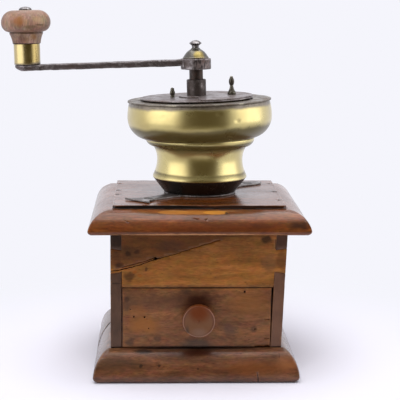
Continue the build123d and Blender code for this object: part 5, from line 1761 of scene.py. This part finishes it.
@dataclass
class Crank(SubAssembly):
    """The spindle, the forged crank with its dome washer and screw, and the axle of the handle.

    Attributes:
        bell_mm: The dome washer's rise and its radius there.
        bell_top_mm: Its radius above the last of these.
        hub_mm: Radius of the crank's hub, which the file has left its strokes on.
        nicks_mm: Where the crank is nicked, along its box.
        cap_drop_mm: How far the axle's head comes down to the settled handle.
        cap_fade_mm: The length of the axle over which that comes to its full measure.
        cap_start: The share of that measure at the washer's foot.
        cap_under_mm: How far under the washer's top the head starts to be wider.
        cap_spread: How much wider the head is.
        washer_drops_mm: How far the outer and the inner part of the axle's washer come down.
        washer_spread: How much wider the outer part is.
        washer_inner_mm: The radius of the inner part.
    """

    bell_mm: tuple[tuple[float, float], ...] = (
        (-1.0, 9.7),
        (1.2, 9.7),
        (2.7, 9.1),
        (4.2, 7.5),
        (5.8, 5.4),
        (7.0, 3.6),
        (8.5, 2.6),
    )
    bell_top_mm: float = 2.5
    hub_mm: float = 13.0
    nicks_mm: tuple[float, ...] = (106.9, 110.0, 112.3)
    cap_drop_mm: float = 1.5
    cap_fade_mm: float = 7.0
    cap_start: float = 0.9
    cap_under_mm: float = 0.2
    cap_spread: float = 1.5
    washer_drops_mm: tuple[float, float] = (1.7, 1.4)
    washer_spread: float = 1.2
    washer_inner_mm: float = 3.5

    def build(self) -> list[str]:
        """Builds the crank.

        Returns:
            The names of its pieces.
        """
        lean = joint_place("crank_turn")
        hub = (tuple(lean.translation), self.hub_mm * MM)
        # Forged and filed: grey brown, with bright strokes on its hub.
        forged = WornIron("crank_iron_forged", "#5a5150", "#989192", "#463833", 0.7, 0.4, filed=hub)
        arm = worn_copy("crank_arm", Wear(0.7, 1.6, 0.22, 9.0, 0.6, 4.0, 13.0))
        self.stand_in(arm, "crank_arm", forged.build())
        nicks = [Split(((x, 4, 8), (x, 12, 8)), (0, 0, 1), (0.6, 0.3), 0.6) for x in self.nicks_mm]
        # The dirt in the nicks: nearly black.
        carve(arm, "crank_arm", nicks, WornIron("crank_iron_nicked", "#2c2624", "#4a4340").build())
        # Drawn bar: dark grey.
        self.dress(["spindle"], WornIron("spindle_iron_drawn", "#3b3431", "#6f6765"))
        low, high = local_span("dome_washer", lean)
        # Turned and gone grey, with a bare patch that fingers have rubbed.
        brass = SpunBrass(
            "washer_brass_turned", "#94834a", "#5f5b53", foot=tuple(lean.translation), axis=axis_of(lean),
            bands=((low - MM, low + 0.6 * MM),), roughness=0.34, patina=1.0, lacquer=0.3,
            rubbed=(tuple(lean @ Vector((2.6 * MM, -8.0 * MM, low + 2.6 * MM))), 5.2 * MM), seed=2.2,
        )

        def bell(spot: Vector) -> Vector:
            """Draws the dome in towards its top, like a bell.

            Args:
                spot: A point of the piece.

            Returns:
                How far it moves.
            """
            reach = math.hypot(spot.x, spot.y)
            rise = (spot.z - low) / MM
            steps = zip(self.bell_mm, self.bell_mm[1:])
            widths = (a + (b - a) * (rise - p) / (q - p) for (p, a), (q, b) in steps if rise <= q)
            limit = next(widths, self.bell_top_mm)
            return Vector((spot.x, spot.y, 0.0)) * (min(1.0, limit * MM / max(reach, 1e-6)) - 1.0)

        washer = turned_copy("dome_washer", lean, Turning(96, 0.6, 0.25, 0.15, 6.0), bell)
        self.stand_in(washer, "dome_washer", brass.build())
        # Polished steel, dented by use: pale, with broken gleams.
        bright = WornIron(
            "screw_steel_polished", "#7d7878", "#b9b5b4", "#423a36", 0.9, 0.3, 3.0, pit_mm=1.6,
            pit_depth_mm=0.5,
        )
        self.dress(["crank_screw"], bright)
        place = joint_place("knob_spin")
        low, high = local_span("axle_washer", place)

        def headed(spot: Vector) -> Vector:
            """Brings the axle's head down to the handle, and makes it as wide as the real one.

            Args:
                spot: A point of the piece.

            Returns:
                How far it moves.
            """
            share = (spot.z - low) / (self.cap_fade_mm * MM) + self.cap_start
            drop = self.cap_drop_mm * MM * min(1.0, max(0.0, share))
            spread = self.cap_spread - 1.0 if spot.z > high - self.cap_under_mm * MM else 0.0
            return Vector((spot.x * spread, spot.y * spread, -drop))

        def pressed(spot: Vector) -> Vector:
            """Presses the washer on to the handle's round top.

            Args:
                spot: A point of the piece.

            Returns:
                How far it moves.
            """
            outer = math.hypot(spot.x, spot.y) > self.washer_inner_mm * MM
            spread = self.washer_spread - 1.0 if outer else 0.0
            drop = self.washer_drops_mm[0 if outer else 1] * MM
            return Vector((spot.x * spread, spot.y * spread, -drop))

        steel = bright.build()
        for node, shape in (("knob_axle", headed), ("axle_washer", pressed)):
            self.stand_in(turned_copy(node, place, Turning(64, 0.5, 0.2, 0.05, 5.0), shape), node, steel)
        return self.built


@dataclass
class Handle(SubAssembly):
    """The turned handle with its brass ferrule, which spins on the axle.

    Attributes:
        settle_mm: How far its bulb sits lower.
        settle_from_mm: The height above its foot at which that starts.
        settle_to_mm: The height at which it has come to its full measure.
        crease_at_mm: Height of the crease under the bulb.
        crease_mm: The crease's depth.
        crease_half_mm: Half its width.
        crease_least_mm: The radius within which nothing is cut.
    """

    settle_mm: float = 1.2
    settle_from_mm: float = 16.0
    settle_to_mm: float = 30.0
    crease_at_mm: float = 24.7
    crease_mm: float = 0.7
    crease_half_mm: float = 0.9
    crease_least_mm: float = 8.0

    def build(self) -> list[str]:
        """Builds the handle.

        Returns:
            The names of its pieces.
        """
        place = joint_place("knob_spin")
        # Turned, and bleached by sweat and light: greyish pink, and matt, with a painted highlight on its
        # top.
        faded = AgedWood(
            "handle_fruitwood_turned_faded", "#755848", "#876956", "#987c68", "#a89080", Grain.ALONG_Z,
            end="#7d5c4a", figure_mm=6.0, roughness=0.5, coat=0.35, stains_and_painted_light=HANDLE_STAINS_AND_PAINTED_HIGHLIGHT,
            corner=tuple(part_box("handle_knob")[0]), seed=9.9,
        )
        foot = local_span("handle_knob", place)[0]

        def settled(spot: Vector) -> Vector:
            """Lets the bulb and its crease sit a little lower, and cuts the crease.

            Args:
                spot: A point of the piece.

            Returns:
                How far it moves.
            """
            rise = (spot.z - foot) / MM
            span = self.settle_to_mm - self.settle_from_mm
            share = min(1.0, max(0.0, (rise - self.settle_from_mm) / span))
            drop = self.settle_mm * share * share * (3 - 2 * share)
            cut = self.crease_mm * max(0.0, 1 - ((rise - self.crease_at_mm) / self.crease_half_mm) ** 2)
            reach = math.hypot(spot.x, spot.y)
            inward = Vector((-spot.x, -spot.y, 0.0))
            way = inward / reach if reach > self.crease_least_mm * MM else Vector()
            return way * cut * MM + Vector((0.0, 0.0, -drop * MM))

        knob = turned_copy("handle_knob", place, Turning(144, 0.7, 0.3, 0.3, 12.0), settled)
        self.stand_in(knob, "handle_knob", faded.build())
        ferrule = turned_copy("knob_ferrule", place, Turning(96, 0.9, 0.25, 0.12, 9.0))
        low, high = local_span("knob_ferrule", place)
        # Drawn tube, rubbed bright by the hand on one side.
        brass = SpunBrass(
            "ferrule_brass_drawn", "#c4b17a", foot=tuple(place.translation), axis=axis_of(place),
            bands=((low - MM, low + 1.0 * MM),), roughness=0.24, patina=0.9,
            rubbed=(tuple(place @ Vector((-6 * MM, -7 * MM, (low + high) / 2))), 11 * MM), seed=3.3,
        )
        self.stand_in(ferrule, "knob_ferrule", brass.build())
        return self.built


# ---------------------------------------------------------------- studio
@dataclass(frozen=True)
class Softbox:
    """A lamp with a wide, even face.

    Attributes:
        name: Its name.
        at: Where it hangs, in metres.
        aim: What it points at.
        size: Its width and height, in metres.
        power: Its power, in watts.
        mirrored: Whether it shows in polished metal.
    """

    name: str
    at: Point
    aim: Point
    size: tuple[float, float]
    power: float
    mirrored: bool = True

    def hang(self) -> None:
        """Hangs the lamp."""
        data = bpy.data.lights.new(self.name, "AREA")
        data.shape = "RECTANGLE"
        data.size, data.size_y = self.size
        data.energy = self.power
        lamp = bpy.data.objects.new(self.name, data)
        bpy.context.scene.collection.objects.link(lamp)
        turn = (Vector(self.aim) - Vector(self.at)).to_track_quat("-Z", "Y").to_matrix().to_4x4()
        lamp.matrix_world = Matrix.Translation(Vector(self.at)) @ turn
        lamp.visible_glossy = self.mirrored


@dataclass
class Studio:
    """A pale room with soft light from above and the sides, and a dark end before the object.

    Attributes:
        eye: Where the camera stands.
        yaw_deg: How far it looks to the right of +Y.
        pitch_deg: How far it looks up.
        roll_deg: How far it is rolled.
        sensor_mm: Width of its sensor.
        lens_mm: Its focal length.
        backdrop: Colour of the backdrop.
        floor: Colour of the floor under the object.
        daylight: Strength of the room's even light.
        floor_reach: Radius of the floor.
        floor_drop_mm: How far the floor lies under the base, so that the two don't coincide.
        floor_fade: The distances over which the floor turns into the backdrop.
        dark: Colour of the cloth on the floor before the object and at its top.
        darkest: Colour of the rest of the cloth.
        dark_from: The distances over which the cloth darkens.
        dark_up: The heights over which it gets paler again.
        dark_sides_deg: How far the cloth reaches round the object, from the front.
        dark_outline: The cloth's outline, as distances from the object and heights.
        lamps: The lamps.
    """

    eye: Point = (-0.03107, -0.99582, 0.28339)
    yaw_deg: float = 1.98
    pitch_deg: float = -9.15
    roll_deg: float = 0.35
    sensor_mm: float = 36.0
    lens_mm: float = 118.69
    backdrop: str = "#f5f5fc"
    floor: str = "#e5e3ed"
    daylight: float = 0.25
    floor_reach: float = 4.0
    floor_drop_mm: float = 0.02
    floor_fade: tuple[float, float] = (0.085, 0.3)
    dark: str = "#827d6c"
    darkest: str = "#5d5442"
    dark_from: tuple[float, float] = (0.4, 0.6)
    dark_up: tuple[float, float] = (1.0, 1.5)
    dark_sides_deg: tuple[float, float] = (-32.0, 46.0)
    dark_outline: tuple[tuple[float, float], ...] = (
        (0.27, 0.003),
        (1.5, 0.01),
        (1.6, 0.5),
        (1.55, 1.0),
        (1.35, 1.6),
        (1.0, 2.0),
    )
    lamps: tuple[Softbox, ...] = (
        Softbox("key_softbox", (-0.1, -0.75, 1.15), (0.0, 0.0, 0.1), (0.8, 0.8), 11.0, mirrored=False),
        Softbox("top_softbox", (0.0, 0.22, 1.3), (0.0, 0.22, 0.1), (1.3, 1.25), 13.0),
        Softbox("left_softbox", (-0.95, -0.45, 0.34), (0.0, 0.0, 0.15), (1.0, 1.0), 3.9),
        Softbox("right_softbox", (1.05, -0.1, 0.34), (0.0, 0.0, 0.15), (1.0, 1.0), 3.9),
    )

    def build(self) -> None:
        """Builds the studio."""
        self.camera()
        self.world()
        self.lay_floor()
        self.dark_end()
        for softbox in self.lamps:
            softbox.hang()

    def camera(self) -> None:
        """Places the camera."""
        yaw, pitch, roll = (math.radians(a) for a in (self.yaw_deg, self.pitch_deg, self.roll_deg))
        ahead = Vector((math.sin(yaw) * math.cos(pitch), math.cos(yaw) * math.cos(pitch), math.sin(pitch)))
        right = Vector((math.cos(yaw), -math.sin(yaw), 0.0))
        up = right.cross(ahead)
        across = right * math.cos(roll) + up * math.sin(roll)
        upward = up * math.cos(roll) - right * math.sin(roll)
        data = bpy.data.cameras.new("camera")
        data.sensor_width = self.sensor_mm
        data.lens = self.lens_mm
        data.clip_start = 0.02
        camera = bpy.data.objects.new("camera", data)
        bpy.context.scene.collection.objects.link(camera)
        turn = Matrix((across, upward, -ahead)).transposed().to_4x4()
        camera.matrix_world = Matrix.Translation(Vector(self.eye)) @ turn
        bpy.context.scene.camera = camera

    def world(self) -> None:
        """Lights the room evenly, and shows the backdrop's white to the camera and in reflections."""
        world = bpy.data.worlds.new("room")
        bpy.context.scene.world = world
        world.use_nodes = True
        tree = world.node_tree
        tree.nodes.clear()
        seen = self.seen(tree)
        day = add(tree, "Background", {"Color": linear(self.backdrop), "Strength": self.daylight})
        white = add(tree, "Background", {"Color": linear(self.backdrop), "Strength": 1.0})
        both = add(tree, "MixShader", {0: seen, 1: day, 2: white})
        add(tree, "OutputWorld", {"Surface": both})

    def seen(self, tree: Tree) -> Socket:
        """The share of the backdrop's own white that a ray sees.

        Args:
            tree: The node tree that asks.

        Returns:
            1 for rays from the camera and for reflected or refracted rays, and 0 for the others.
        """
        direct = add(tree, "LightPath", output="Is Camera Ray")
        mirrored = add(tree, "LightPath", output="Is Glossy Ray")
        through = add(tree, "LightPath", output="Is Transmission Ray")
        seen = add(tree, "Math", {0: direct, 1: mirrored}, operation="MAXIMUM")
        return add(tree, "Math", {0: seen, 1: through}, operation="MAXIMUM")

    def lay_floor(self) -> None:
        """Lays the floor, which fades into the backdrop away from the object."""
        mesh = bmesh.new()
        bmesh.ops.create_circle(mesh, cap_ends=True, segments=96, radius=self.floor_reach)
        floor = object_from(mesh, "floor")
        floor.location.z = -self.floor_drop_mm * MM
        material, tree = new_material("painted_floor")
        here = add(tree, "TexCoord", output="Object")
        away = add(tree, "VectorMath", {0: here}, "Value", operation="LENGTH")
        far = add(
            tree, "MapRange", {0: away, 1: self.floor_fade[0], 2: self.floor_fade[1]},
            interpolation_type="SMOOTHSTEP",
        )
        seen = add(tree, "Math", {0: far, 1: self.seen(tree)}, operation="MULTIPLY")
        paint = add(tree, "BsdfDiffuse", {"Color": linear(self.floor)})
        glow = add(tree, "Emission", {"Color": linear(self.backdrop), "Strength": 1.0})
        both = add(tree, "MixShader", {0: seen, 1: paint, 2: glow})
        add(tree, "OutputMaterial", {"Surface": both})
        floor.data.materials.append(material)

    def dark_end(self) -> None:
        """Lays and hangs the dark cloth before the object, which only shows in polished metal and wax."""
        mesh = bmesh.new()
        left, right = (math.radians(side) for side in self.dark_sides_deg)
        steps, rows = 16, []
        for k in range(steps + 1):
            angle = -math.pi / 2 + left + (right - left) * k / steps
            way = Vector((math.cos(angle), math.sin(angle), 0.0))
            rows.append([mesh.verts.new(way * away + Vector((0, 0, up))) for away, up in self.dark_outline])
        for a, b in zip(rows, rows[1:]):
            for k in range(len(a) - 1):
                mesh.faces.new((a[k], b[k], b[k + 1], a[k + 1]))
        curtain = object_from(mesh, "dark_curtain")
        material, tree = new_material("dark_cloth")
        here = add(tree, "TexCoord", output="Object")
        up = add(tree, "VectorMath", {0: here, 1: (0.0, 0.0, 1.0)}, "Value", operation="DOT_PRODUCT")
        away = add(tree, "VectorMath", {0: here}, "Value", operation="LENGTH")
        near = add(tree, "MapRange", {0: away, 1: self.dark_from[0], 2: self.dark_from[1]})
        high = add(tree, "MapRange", {0: up, 1: self.dark_up[0], 2: self.dark_up[1], 3: 1.0, 4: 0.6})
        share = add(tree, "Math", {0: near, 1: high}, operation="MULTIPLY")
        shade = add(
            tree, "Mix", {0: share, 6: linear(self.dark), 7: linear(self.darkest)}, 2, data_type="RGBA"
        )
        cloth = add(tree, "Emission", {"Color": shade, "Strength": 1.0})
        add(tree, "OutputMaterial", {"Surface": cloth})
        curtain.data.materials.append(material)
        curtain.visible_camera = False
        curtain.visible_diffuse = False
        curtain.visible_shadow = False


def main() -> None:
    """Builds the studio and each sub-assembly, and reports each piece."""
    logging.basicConfig(level=logging.INFO, format="%(name)s: %(message)s")
    bpy.context.scene.view_settings.view_transform = "Standard"
    Studio().build()
    for assembly in (WoodenBox(), Drawer(), MillWorks(), Hopper(), Lid(), Crank(), Handle()):
        for piece in assembly.build():
            LOG.info("%s: %s", type(assembly).__name__, piece)


if __name__ == "__main__":
    main()
